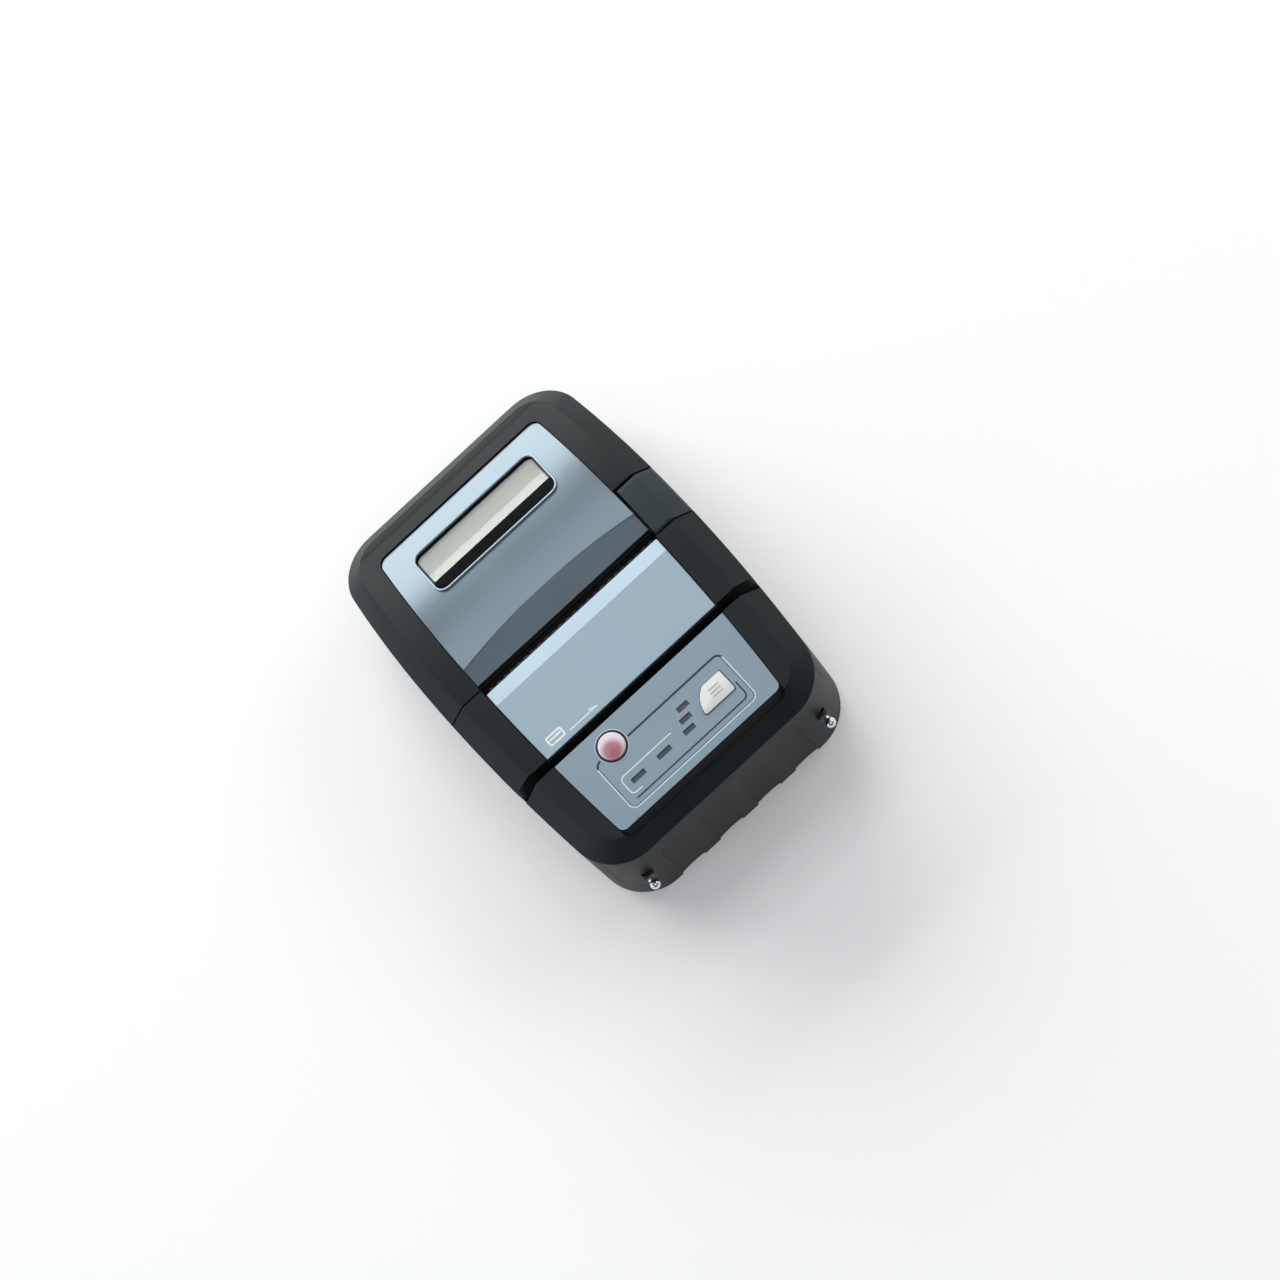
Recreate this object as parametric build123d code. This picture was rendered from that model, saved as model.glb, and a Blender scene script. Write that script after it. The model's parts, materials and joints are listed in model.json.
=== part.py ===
# Portable receipt printer with a hinged paper cover, a side open button and a card slot.
# Millimetres. +X is the side of the open button, -Y is the front end with the strap studs, +Z is up.
# The origin is the middle of the underside.

from build123d import *
import functools
import math
import os

# Body
BODY_WIDTH = 79.0
BODY_LENGTH = 114.0
BODY_HEIGHT = 43.0
SIDE_BULGE = 3.8
CORNER_RADIUS = 13.0
INNER_CORNER = 9.0
SHOULDER_BEVEL = 5.0
FOOT_BEVEL = 4.0
CREST_Y = 8.0
CREST_FALL = 13.45

# Walls and clearances
RUBBER_WALL = 2.0
CASE_WALL = 1.4
FIT_GAP = 0.1
SEAM_GAP = 0.4
MOVE_GAP = 0.4
SEAT_GAP = 0.3
RUNNING_GAP = 0.05
PRESS_GAP = 0.02
OVERLAP = 0.2
PAST = 1.0

# Seams between the covers
SPLIT_Y = 0.6
PARTING_Z = 20.0
CASE_SEAM = 0.2

# Grey panels
PANEL_DROP = 0.5
RAIL_WIDTH = 11.3
PANEL_BULGE = 2.1
PANEL_BULGE_SPAN = 48.0
PANEL_GAP = 0.25
COVER_PANEL_FRONT = 2.2
COVER_END_RAIL = 10.8
COVER_PANEL_CORNER = 2.6
RAMP_LENGTH = 5.0
RAMP_BOW = 2.6
RAMP_FALL = 1.0
MID_PANEL_BACK = -1.0
MID_BEVEL_LENGTH = 4.2
MID_BEVEL_FALL = 0.9
FRONT_RAIL = 6.3
CONTROL_PANEL_CORNER = 1.8
FRONT_CHANNEL = 2.1

# Window in the cover panel
WINDOW_SIDE = 8.6
WINDOW_END = 6.4
WINDOW_LENGTH = 13.1
WINDOW_CORNER = 2.0
WINDOW_LEDGE = 0.4
LENS_DROP = 0.9

# Card slot
SLOT_BACK = -24.2
SLOT_WIDTH = 2.6
SLOT_DEPTH = 13.0
SLOT_FLARE = 3.6
SLOT_FLARE_LENGTH = 7.0
TRACK_WALL = 1.2
READER_WIDTH = 9.0
READER_DEPTH = 4.0
READER_X = -12.0
READER_LIFT = 1.0
READER_ROOF = 0.4
READER_NOSE = 1.2

# Hinge at the back
KNUCKLE_RADIUS = 4.0
KNUCKLE_MIDDLE_HALF = 12.0
PIN_END_INSET = 13.2
CHEEK_END_INSET = 5.2
CHEEK_BEVEL = 2.2
KNUCKLE_LEG = 5.0
HINGE_PIN_RADIUS = 1.25
HINGE_RELIEF = 0.8

# Open button
KEY_WIDTH = 10.6
KEY_FRONT = -0.5
KEY_BACK = 14.8
KEY_LIFT = 2.4
KEY_TRAVEL = 1.6
KEY_GAP = 0.6
KEY_SKIRT = 5.0
SKIRT_INSET = 5.0
KEY_RIB = 1.0
KEY_RIB_LENGTH = 1.3
KEY_RIB_GAP = 0.25
KEY_GUIDE_LENGTH = 6.0

# Latch lever and its pin
LEVER_THICKNESS = 1.5
LEVER_PIVOT_BACK = 2.8
LEVER_PIVOT_DROP = 10.5
LEVER_HUB = 4.4
LEVER_PIN_RADIUS = 1.0
LEVER_REACH = 6.0
LEVER_ARM = 1.6
HOOK_BACK = 0.8
HOOK_LAP = 1.2
HOOK_HEIGHT = 2.4
TAB_THICKNESS = 1.2
TAB_LENGTH = 2.5
TAB_RISE = 1.0
TAB_REACH = 1.0
PIN_HEAD = 0.4

# Platen
PLATEN_Y = 4.4
PLATEN_DROP = 12.0
PLATEN_RADIUS = 4.2
PLATEN_SHORT = 0.1
PLATEN_END_GAP = 0.6
SHAFT_RADIUS = 1.5
SHAFT_END = 0.4
BUSHING_SIZE = 5.0
BUSHING_LIP = 0.4
BRACKET_ARM = 1.6
BRACKET_PLATE = 1.4
BRACKET_DROP = 2.1
BRACKET_DEPTH = 9.0
BRACKET_FRONT_GAP = 0.3
BRACKET_BOSS = 4.4
BRACKET_BOSS_X = 20.0
ARM_REACH = 3.8
ARM_NECK = 2.0

# Paper roll and its cradle
SIDE_WORKS = 10.8
ROLL_SETBACK = 22.0
ROLL_RADIUS = 15.5
ROLL_SIDE_GAP = 0.4
CORE_RADIUS = 6.5
CORE_BORE = 5.5
CRADLE_WALL = 1.2
CRADLE_DROP = 3.0
CRADLE_FOOT = 0.45
CHEEK_THICKNESS = 1.2
GUIDE_THICKNESS = 1.2
GUIDE_LAP = 0.9
GUIDE_BEND_Y = 1.1
GUIDE_TIP_Y = 3.4
GUIDE_DROP = 6.4
GUIDE_TIP_DROP = 6.0

# Gear train on the left side
GEAR_MODULE = 0.6
PLATEN_TEETH = 16
IDLER_TEETH = 20
PINION_TEETH = 10
GEAR_FACE = 2.0
GEAR_GAP = 0.5
GEAR_DISTANCE_GAP = 0.12
GEAR_BACKLASH = 0.86
GEAR_ROOT = 1.2
GEAR_TIP = 0.9
PRESSURE_ANGLE = 20.0
IDLER_DIRECTION = 257.0
PINION_DIRECTION = 222.0
IDLER_PIN_RADIUS = 1.0
MOTOR_SHAFT_RADIUS = 0.9
MOTOR_HOLE = 3.2

# Print chassis, head and motor
ARM_GAP = 0.5
CHASSIS_SHEET = 1.0
CHASSIS_WALL_Y = -9.5
CHASSIS_WALL_DROP = 7.5
CHASSIS_RISE = 2.0
CHASSIS_BACK = 11.5
CHASSIS_SHOULDER = 6.0
NOTCH_SLANT = 1.4
NOTCH_LENGTH = 12.0
HEAD_THICKNESS = 1.0
HEAD_SHORT = 1.2
HEAD_DROP = 5.0
HEAD_RISE = 4.5
SINK_THICKNESS = 3.0
SINK_MARGIN = 1.0
SINK_SIDE = 1.5
SINK_WEB = 1.6
SINK_FIN_PITCH = 4.6
SINK_GROOVE = 1.6
SINK_GROOVES = 11
MOTOR_RADIUS = 7.0
MOTOR_LENGTH = 12.0
MOTOR_PLATE = 0.8
MOTOR_EAR = 3.0
MOTOR_EAR_HALF = 2.5
TEAR_BAR_THICKNESS = 0.5
TEAR_BAR_HEIGHT = 4.5
TEAR_BAR_SHORT = 0.6
TEAR_TEETH = 24
TEAR_TOOTH_HEIGHT = 0.8

# Battery, in the underside
BATTERY_END = 10.4
BATTERY_SIDE = 11.9
BATTERY_BACK = -14.2
BATTERY_CORNER = 1.5
BATTERY_HEIGHT = 15.5
BAY_GAP = 0.3
BAY_WALL = 1.3
BELLY_INSET = 8.0
BELLY_GAP = 0.2
BELLY_CORNER = 2.5
LATCH_HALF = 6.0
LATCH_LENGTH = 5.0
LATCH_TRAVEL = 1.3
LATCH_STEP = 0.2
LATCH_ROOF = 1.0
NIB_SHORT = 1.0
NIB_BOTTOM = 2.5
NIB_TOP = 3.7
NIB_REACH = 1.1
THUMB_GROOVE = 1.6
THUMB_DEPTH = 0.6
THUMB_MARGIN = 1.5
CONTACT_COUNT = 4
CONTACT_PITCH = 6.0
CONTACT_WIDTH = 2.0
CONTACT_LENGTH = 2.8
CONTACT_PAD = 0.4

# Buttons and indicators
POWER_X = -13.9
POWER_SETBACK = 8.6
POWER_RADIUS = 3.5
FEED_X = 12.8
FEED_SETBACK = 16.0
FEED_BACK_WIDTH = 5.7
FEED_FRONT_WIDTH = 9.5
FEED_LENGTH = 6.1
FEED_BOW = 0.7
BUTTON_RISE = 0.5
BUTTON_TRAVEL = 0.6
BUTTON_GAP = 0.25
PLUNGER = 3.0
LAMP_LONG = 4.2
LAMP_SHORTER = 0.8
LAMP_WIDTH = 1.4
LAMP_DROP = 0.2
LAMP_ROW = 18.7
LAMP_ROW_X = (-13.9, -5.5, 2.7)
LAMP_STEP_X = (3.8, 5.2)
LAMP_STEP_BACK = (16.0, 13.3)

# Boards
BOARD_THICKNESS = 1.2
BOARD_POST = 2.6
SWITCH_BOARD_DROP = 5.5
SWITCH_BOARD_HALF = 24.0
SWITCH_BOARD_FRONT = 3.0
SWITCH_BOARD_BACK = 2.2
SWITCH_HEIGHT = 2.2
SWITCH_SIZE = 6.0
SWITCH_BUTTON = 2.6
SWITCH_BUTTON_HEIGHT = 0.6
PLUNGER_GAP = 0.8
LAMP_CHIP = (1.6, 1.0, 0.7)
POST_MARGIN = 2.0
MAIN_BOARD_LIFT = 3.1
MAIN_BOARD_SIDE = 1.4
MAIN_POST_INSET = 4.0

# Main board parts: place from the middle and from the front edge, then width, length and height
PROCESSOR = (0.0, 10.6, 12.0, 12.0, 1.4)
RADIO_MODULE = (19.0, 6.6, 14.0, 12.0, 2.2)
MOTOR_SOCKET = (-21.0, 21.6, 6.0, 10.0, 3.2)
HEAD_SOCKET = (-13.5, 3.6, 5.0, 6.0, 2.0)
COIL = (18.0, 22.6, 6.0, 6.0, 3.0)

# Strap studs and front recesses
STUD_INSET = 10.5
STUD_LIFT = 2.0
STUD_REACH = 4.2
STUD_HEAD_RADIUS = 1.5
STUD_HEAD_LENGTH = 1.9
STUD_NECK_RADIUS = 0.95
STUD_ROOT = 2.2
STUD_ROOT_DEPTH = 8.0
RECESS_COUNT = 4
RECESS_PITCH = 12.6
RECESS_WIDTH = 7.4
RECESS_DROP = 14.0
RECESS_DEPTH = 0.8
RECESS_RADIUS = 24.0

# Worked out from the sizes above
HALF_WIDTH = BODY_WIDTH / 2
END_Y = BODY_LENGTH / 2
REACH = BODY_LENGTH
CASE_OUTER = RUBBER_WALL + FIT_GAP
CASE_INNER = CASE_OUTER + CASE_WALL
SIDE_RADIUS = (END_Y**2 + SIDE_BULGE**2) / (2 * SIDE_BULGE)
CREST_RADIUS = ((END_Y - CREST_Y) ** 2 + CREST_FALL**2) / (2 * CREST_FALL)
PANEL_HALF = HALF_WIDTH - RAIL_WIDTH
PANEL_RADIUS = (PANEL_BULGE_SPAN**2 + PANEL_BULGE**2) / (2 * PANEL_BULGE)
PANEL_TOP_Z = BODY_HEIGHT - PANEL_DROP
CASE_TOP_Z = BODY_HEIGHT - CASE_OUTER
CASE_CEILING_Z = BODY_HEIGHT - CASE_INNER
COVER_PANEL_BACK = END_Y - COVER_END_RAIL
CONTROL_PANEL_FRONT = FRONT_RAIL - END_Y
WINDOW_HALF = PANEL_HALF - WINDOW_SIDE
WINDOW_BACK = COVER_PANEL_BACK - WINDOW_END
WINDOW_FRONT = WINDOW_BACK - WINDOW_LENGTH
SLOT_FRONT = SLOT_BACK - SLOT_WIDTH
SLOT_FLOOR_Z = BODY_HEIGHT - SLOT_DEPTH
READER_BOTTOM = SLOT_FLOOR_Z + READER_LIFT + FIT_GAP
READER_TOP = CASE_CEILING_Z - READER_ROOF
HINGE_Y = END_Y - KNUCKLE_RADIUS
HINGE_Z = PARTING_Z
HINGE_PIN_HALF = HALF_WIDTH - PIN_END_INSET - SEAT_GAP
KEY_INNER_X = HALF_WIDTH - KEY_WIDTH
KEY_BOTTOM = PARTING_Z + KEY_LIFT
ROLL_HALF = HALF_WIDTH - SIDE_WORKS
ROLL_Y = CREST_Y + ROLL_SETBACK
ROLL_Z = CASE_INNER + FIT_GAP + CRADLE_WALL + SEAT_GAP + ROLL_RADIUS
CRADLE_RADIUS = ROLL_RADIUS + SEAT_GAP
CRADLE_RIM_Z = PARTING_Z - CRADLE_DROP
CHEEK_X = ROLL_HALF + ROLL_SIDE_GAP
PLATEN_Z = BODY_HEIGHT - PLATEN_DROP
PLATEN_AXIS = (PLATEN_Y, PLATEN_Z)
PLATEN_HALF = ROLL_HALF - PLATEN_SHORT
ARM_INNER_X = PLATEN_HALF + PLATEN_END_GAP
ARM_OUTER_X = ARM_INNER_X + BRACKET_ARM
BRACKET_TOP_Z = CASE_CEILING_Z - BRACKET_DROP
CHASSIS_INNER_X = ARM_OUTER_X + ARM_GAP
CHASSIS_OUTER_X = CHASSIS_INNER_X + CHASSIS_SHEET
CHASSIS_FOOT_Z = CASE_INNER + FIT_GAP
CHASSIS_TOP = PLATEN_Z + CHASSIS_RISE
GEAR_INNER_X = CHASSIS_OUTER_X + GEAR_GAP
GEAR_OUTER_X = GEAR_INNER_X + GEAR_FACE
LEVER_INNER_X = CHASSIS_OUTER_X + MOVE_GAP
LEVER_OUTER_X = LEVER_INNER_X + LEVER_THICKNESS
LEVER_PIVOT_Y = PLATEN_Y + LEVER_PIVOT_BACK
LEVER_PIVOT_Z = PLATEN_Z - LEVER_PIVOT_DROP
TAB_TOP_Z = LEVER_PIVOT_Z + TAB_RISE + TAB_THICKNESS
HEAD_HALF = ROLL_HALF - HEAD_SHORT
HEAD_FACE_Y = PLATEN_Y - PLATEN_RADIUS - SEAT_GAP
HEAD_BACK_Y = HEAD_FACE_Y - HEAD_THICKNESS
HEAD_BOTTOM = PLATEN_Z - HEAD_DROP
HEAD_TOP = PLATEN_Z + HEAD_RISE
BATTERY_FRONT = BATTERY_END - END_Y
BATTERY_HALF = HALF_WIDTH - BATTERY_SIDE
BAY_TOP_Z = BATTERY_HEIGHT + BAY_GAP + BAY_WALL
POWER_Y = SLOT_BACK - POWER_SETBACK
FEED_Y = SLOT_BACK - FEED_SETBACK
SWITCH_BOARD_Z = CASE_CEILING_Z - SWITCH_BOARD_DROP
SWITCH_BOARD_TOP = SWITCH_BOARD_Z + BOARD_THICKNESS
MAIN_BOARD_Z = BAY_TOP_Z + MAIN_BOARD_LIFT
MAIN_BOARD_TOP = MAIN_BOARD_Z + BOARD_THICKNESS
STUD_X = HALF_WIDTH - STUD_INSET
STUD_Z = PARTING_Z + STUD_LIFT
RECESS_TOP = BODY_HEIGHT - RECESS_DROP


def side_x(y, inset=0.0):
    """Half width of the body in plan, inset from the outer face."""
    return HALF_WIDTH - SIDE_RADIUS + math.sqrt((SIDE_RADIUS - inset) ** 2 - y**2)


def top_z(y, inset=0.0):
    """Height of the top face, flat in front of the crest and falling behind it."""
    if y <= CREST_Y:
        return BODY_HEIGHT - inset
    fall = math.sqrt((CREST_RADIUS - inset) ** 2 - (y - CREST_Y) ** 2)
    return BODY_HEIGHT - CREST_RADIUS + fall


def panel_x(y):
    """Half width of the grey panels."""
    return PANEL_HALF - PANEL_RADIUS + math.sqrt(PANEL_RADIUS**2 - y**2)


def block(x, y, z):
    """Box between two corners, given as pairs."""
    size = [abs(b - a) for a, b in (x, y, z)]
    centre = [(a + b) / 2 for a, b in (x, y, z)]
    return Pos(*centre) * Box(*size)


def span(middle, width):
    """Pair of places on both sides of a middle."""
    return middle - width / 2, middle + width / 2


def side_plane(x=0.0):
    """Plane square to X, with Y to the right and Z up."""
    return Plane(origin=(x, 0, 0), x_dir=(0, 1, 0), z_dir=(1, 0, 0))


def rod(radius, x0, x1, y, z):
    """Round bar along X."""
    face = side_plane(min(x0, x1)) * Pos(y, z) * Circle(radius)
    return extrude(face, abs(x1 - x0))


def plate(points, x0, x1):
    """Flat plate square to X, with its outline given as Y and Z."""
    face = side_plane(min(x0, x1)) * make_face(Polyline(*points, close=True))
    return extrude(face, abs(x1 - x0))


def post(x, y, z0, z1, size=BOARD_POST):
    """Square post along Z."""
    return block(span(x, size), span(y, size), (z0, z1))


def mirrored(shape):
    """The same shape on the other side of the middle plane."""
    return mirror(shape, Plane.YZ)


def bevel(size, inset):
    """Leg of a bevel that stays parallel to the outer one at an even inset."""
    return size - (2 - math.sqrt(2)) * inset


def round_outline():
    """Plan of the body's outer face, with bulged sides and round corners."""
    far = side_x(END_Y)
    edges = [
        ThreePointArc((far, -END_Y), (HALF_WIDTH, 0), (far, END_Y)),
        Line((far, END_Y), (-far, END_Y)),
        ThreePointArc((-far, END_Y), (-HALF_WIDTH, 0), (-far, -END_Y)),
        Line((-far, -END_Y), (far, -END_Y)),
    ]
    face = make_face(Curve() + edges)
    return fillet(face.vertices(), CORNER_RADIUS)


def cut_outline(inset, cut):
    """Plan at an inset, with bulged sides and flat-cut corners, where the rubber is thicker."""
    end = END_Y - inset
    low = end - cut
    near = side_x(low, inset)
    far = side_x(end, inset) - cut
    middle = HALF_WIDTH - inset
    edges = [
        ThreePointArc((near, -low), (middle, 0), (near, low)),
        Line((near, low), (far, end)),
        Line((far, end), (-far, end)),
        Line((-far, end), (-near, low)),
        ThreePointArc((-near, low), (-middle, 0), (-near, -low)),
        Line((-near, -low), (-far, -end)),
        Line((-far, -end), (far, -end)),
        Line((far, -end), (near, -low)),
    ]
    return make_face(Curve() + edges)


@functools.lru_cache
def envelope(inset):
    """The closed body form, inset evenly from the outer face."""
    plan = cut_outline(inset, bevel(INNER_CORNER, inset)) if inset else round_outline()
    block_form = Pos(0, 0, inset) * extrude(plan, BODY_HEIGHT)
    flat_z = BODY_HEIGHT - inset
    crest_end = END_Y + PAST
    middle = (crest_end + CREST_Y) / 2
    edges = [
        Line((-REACH, inset), (-REACH, flat_z)),
        Line((-REACH, flat_z), (CREST_Y, flat_z)),
        ThreePointArc(
            (CREST_Y, flat_z),
            (middle, top_z(middle, inset)),
            (crest_end, top_z(crest_end, inset)),
        ),
        Line((crest_end, top_z(crest_end, inset)), (crest_end, inset)),
        Line((crest_end, inset), (-REACH, inset)),
    ]
    profile = Plane.YZ * make_face(Curve() + edges)
    form = block_form & extrude(profile, BODY_WIDTH, both=True)
    shoulder = []
    for edge in form.edges():
        is_upright = abs((edge @ 1 - edge @ 0).normalized().Z) > math.cos(math.radians(30))
        on_crest = edge.geom_type == GeomType.LINE and abs(edge.center().Y - CREST_Y) < FIT_GAP
        if edge.center().Z > BODY_HEIGHT / 3 and not is_upright and not on_crest:
            shoulder.append(edge)
    form = chamfer(shoulder, bevel(SHOULDER_BEVEL, inset))
    foot = [edge for edge in form.edges() if edge.center().Z < inset + FIT_GAP]
    return chamfer(foot, bevel(FOOT_BEVEL, inset))


@functools.lru_cache
def skin(outer, inner):
    """Even wall between two insets of the body form."""
    return envelope(outer) - envelope(inner)


def panel_face(front, back, gap=0.0, front_corner=0.0, back_corner=0.0):
    """Plan of a grey panel between two places along the body, grown by a gap."""
    low, high = front - gap, back + gap
    middle = (low + high) / 2
    near, far = panel_x(low) + gap, panel_x(high) + gap
    side = panel_x(middle) + gap
    edges = [
        ThreePointArc((near, low), (side, middle), (far, high)),
        Line((far, high), (-far, high)),
        ThreePointArc((-far, high), (-side, middle), (-near, low)),
        Line((-near, low), (near, low)),
    ]
    face = make_face(Curve() + edges)
    if front_corner:
        face = fillet([v for v in face.vertices() if v.Y < middle], front_corner + gap)
    if back_corner:
        face = fillet([v for v in face.vertices() if v.Y > middle], back_corner + gap)
    return face


def upright(face, bottom=PARTING_Z):
    """Prism over a plan, from a height to above the body."""
    return Pos(0, 0, bottom) * extrude(face, BODY_HEIGHT)


def cover_zone():
    """Space that belongs to the hinged cover."""
    zone = block((-REACH, REACH), (SPLIT_Y, REACH), (PARTING_Z, REACH))
    beside_key = block((KEY_INNER_X - KEY_GAP, REACH), (-REACH, KEY_BACK + KEY_GAP), (0, REACH))
    return zone - beside_key


def base_zone():
    """Space that belongs to the base, with room behind for the cover's swing."""
    low = PARTING_Z - SEAM_GAP
    swing = HINGE_Z - KNUCKLE_RADIUS - HINGE_RELIEF
    relief_y = HINGE_Y - HINGE_RELIEF
    points = [
        (-REACH, -PAST),
        (REACH, -PAST),
        (REACH, swing),
        (relief_y, swing),
        (relief_y, low),
        (SPLIT_Y - SEAM_GAP, low),
        (SPLIT_Y - SEAM_GAP, REACH),
        (-REACH, REACH),
    ]
    return plate(points, -REACH, REACH)


def key_zone(gap=0.0, travel=0.0):
    """Space of the open button over the right shoulder, grown by a gap and its travel."""
    return block(
        (KEY_INNER_X - gap, REACH),
        (KEY_FRONT - gap, KEY_BACK + gap),
        (KEY_BOTTOM - gap - travel, REACH),
    )


def key_skirt_zone(gap=0.0, travel=0.0):
    """Space of the button's skirt behind the rubber, grown by a gap and its travel."""
    return block(
        (KEY_INNER_X + SKIRT_INSET - gap, REACH),
        (KEY_FRONT - gap, KEY_BACK + gap),
        (KEY_BOTTOM - KEY_SKIRT - gap - travel, REACH),
    )


def slot_cut(depth_z):
    """Card slot across the whole width, wider at both mouths."""
    middle = (SLOT_FRONT + SLOT_BACK) / 2
    cut = block((-REACH, REACH), (SLOT_FRONT, SLOT_BACK), (depth_z, REACH))
    mouth_x = side_x(middle) + PAST
    inner_x = side_x(middle) - SLOT_FLARE_LENGTH
    flare = Polyline(
        (inner_x, SLOT_FRONT),
        (mouth_x, middle - SLOT_FLARE / 2),
        (mouth_x, middle + SLOT_FLARE / 2),
        (inner_x, SLOT_BACK),
        close=True,
    )
    wedge = Pos(0, 0, depth_z) * extrude(make_face(flare), BODY_HEIGHT)
    return cut + wedge + mirrored(wedge)


def belly_opening(gap=0.0):
    """Plan of the flat underside inside the rubber rim."""
    return cut_outline(BELLY_INSET - gap, BELLY_CORNER)


def front_recess(x):
    """Shallow finger recess in the front end, with a round top."""
    scoop = Pos(x, -END_Y - RECESS_RADIUS + RECESS_DEPTH, 0) * Cylinder(RECESS_RADIUS, REACH)
    straight = block(span(x, RECESS_WIDTH), (-REACH, 0), (-PAST, RECESS_TOP))
    top = Pos(x, 0, RECESS_TOP) * Rot(90, 0, 0) * extrude(Circle(RECESS_WIDTH / 2), REACH)
    return scoop & (straight + top)


def stud_root(back, front, gap=0.0):
    """Square root of the right strap stud, grown by a gap."""
    width = STUD_ROOT + 2 * gap
    return block(span(STUD_X, width), (back, front), span(STUD_Z, width))


def stud_holes():
    """Square holes for the two strap studs through the front end."""
    right = stud_root(STUD_ROOT_DEPTH + PAST - END_Y, -REACH, FIT_GAP)
    return right + mirrored(right)


def make_base_bumper():
    """Rubber shell of the base, open on top and over the underside."""
    shell = skin(0.0, RUBBER_WALL) & base_zone()
    front = CONTROL_PANEL_FRONT - FRONT_CHANNEL
    shell -= upright(panel_face(front, SPLIT_Y, PANEL_GAP, CONTROL_PANEL_CORNER))
    shell -= Pos(0, 0, -PAST) * extrude(belly_opening(BELLY_GAP), 2 * RUBBER_WALL)
    shell -= slot_cut(SLOT_FLOOR_Z)
    shell -= key_zone(KEY_GAP, KEY_TRAVEL)
    for i in range(RECESS_COUNT):
        shell -= front_recess((i - (RECESS_COUNT - 1) / 2) * RECESS_PITCH)
    return shell - stud_holes()


def bay_box(grow, bottom=-PAST):
    """Form of the battery with flat-cut corners, grown on its sides and top."""
    length = BATTERY_BACK - BATTERY_FRONT + 2 * grow
    middle = (BATTERY_BACK + BATTERY_FRONT) / 2
    face = Rectangle(2 * (BATTERY_HALF + grow), length)
    face = chamfer(face.vertices(), bevel(BATTERY_CORNER, -grow))
    return Pos(0, middle, bottom) * extrude(face, BATTERY_HEIGHT + grow - bottom)


def latch_nib(gap=0.0):
    """Nib of the battery latch, grown by a gap."""
    return block(
        span(0, 2 * (LATCH_HALF - NIB_SHORT + gap)),
        (BATTERY_BACK - NIB_REACH, BATTERY_BACK + BAY_GAP + NIB_REACH + gap),
        (NIB_BOTTOM - gap, NIB_TOP + gap),
    )


def pin_bore(gap):
    """Bore for the hinge pin, with its gap."""
    return rod(HINGE_PIN_RADIUS + gap, -REACH, REACH, HINGE_Y, HINGE_Z)


def barrel(x0, x1):
    """Round part of a hinge knuckle, trimmed to the body form."""
    return rod(KNUCKLE_RADIUS, x0, x1, HINGE_Y, HINGE_Z) & envelope(PANEL_DROP)


def hinge_cheek():
    """Bevelled cheek of the lower case that keeps the right end of the hinge pin."""
    front, back = span(HINGE_Y, 2 * KNUCKLE_RADIUS)
    low, high = HINGE_Z - KNUCKLE_RADIUS / 2, HINGE_Z + KNUCKLE_RADIUS
    outline = [
        (front, CASE_OUTER),
        (front + KNUCKLE_LEG, CASE_OUTER),
        (front + KNUCKLE_LEG, low - CHEEK_BEVEL),
        (back - CHEEK_BEVEL / 2, low),
        (back - CHEEK_BEVEL / 2, high - CHEEK_BEVEL),
        (back - CHEEK_BEVEL, high - CHEEK_BEVEL / 2),
        (front + CHEEK_BEVEL, high - CHEEK_BEVEL / 2),
        (front + CHEEK_BEVEL / 2, high - CHEEK_BEVEL),
        (front, HINGE_Z - SEAM_GAP),
    ]
    cheek = plate(outline, HALF_WIDTH - PIN_END_INSET, HALF_WIDTH - CHEEK_END_INSET)
    relief_y, relief_z = HINGE_Y - HINGE_RELIEF, HINGE_Z - KNUCKLE_RADIUS - HINGE_RELIEF
    relief = block((-REACH, REACH), (relief_y + FIT_GAP, REACH), (relief_z + FIT_GAP, REACH))
    return (cheek & envelope(CASE_OUTER)) + (cheek & relief & envelope(PANEL_DROP))


def make_lower_case():
    """Lower case with the battery bay, the middle knuckle and the cheeks that keep the hinge pin."""
    case = skin(CASE_OUTER, CASE_INNER) & base_zone()
    case &= block((-REACH, REACH), (-REACH, REACH), (0, PARTING_Z - SEAM_GAP))
    case += extrude(belly_opening(), CASE_OUTER + OVERLAP)
    wall = BAY_GAP + BAY_WALL
    bay_y = (BATTERY_FRONT - wall, BATTERY_BACK + wall)
    case += block(span(0, 2 * (BATTERY_HALF + wall)), bay_y, (CASE_OUTER, BAY_TOP_Z))
    case -= bay_box(BAY_GAP)
    case -= latch_nib(SEAT_GAP)
    case -= key_skirt_zone(SEAM_GAP, KEY_TRAVEL)
    x0, x1 = span(0, 2 * KNUCKLE_MIDDLE_HALF)
    leg = block(
        (x0, x1),
        (HINGE_Y - KNUCKLE_RADIUS, HINGE_Y - KNUCKLE_RADIUS + KNUCKLE_LEG),
        (CASE_OUTER, HINGE_Z - KNUCKLE_RADIUS / 2),
    )
    knuckle = (leg & envelope(CASE_OUTER)) + barrel(x0, x1)
    cheek = hinge_cheek()
    return case + (knuckle - pin_bore(PRESS_GAP)) + cheek + mirrored(cheek)


def make_hinge_pin():
    """Steel pin, pressed into the middle knuckle and running in the cover's two knuckles."""
    return rod(HINGE_PIN_RADIUS, -HINGE_PIN_HALF, HINGE_PIN_HALF, HINGE_Y, HINGE_Z)


def knuckle_channel():
    """Round room in the cover for the base's knuckles."""
    return rod(KNUCKLE_RADIUS + MOVE_GAP, -REACH, REACH, HINGE_Y, HINGE_Z)


def make_cover_bumper():
    """Rubber shell of the cover."""
    shell = skin(0.0, RUBBER_WALL) & cover_zone()
    shell -= upright(panel_face(-END_Y / 2, COVER_PANEL_BACK, PANEL_GAP, 0, COVER_PANEL_CORNER))
    return shell - knuckle_channel()


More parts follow.
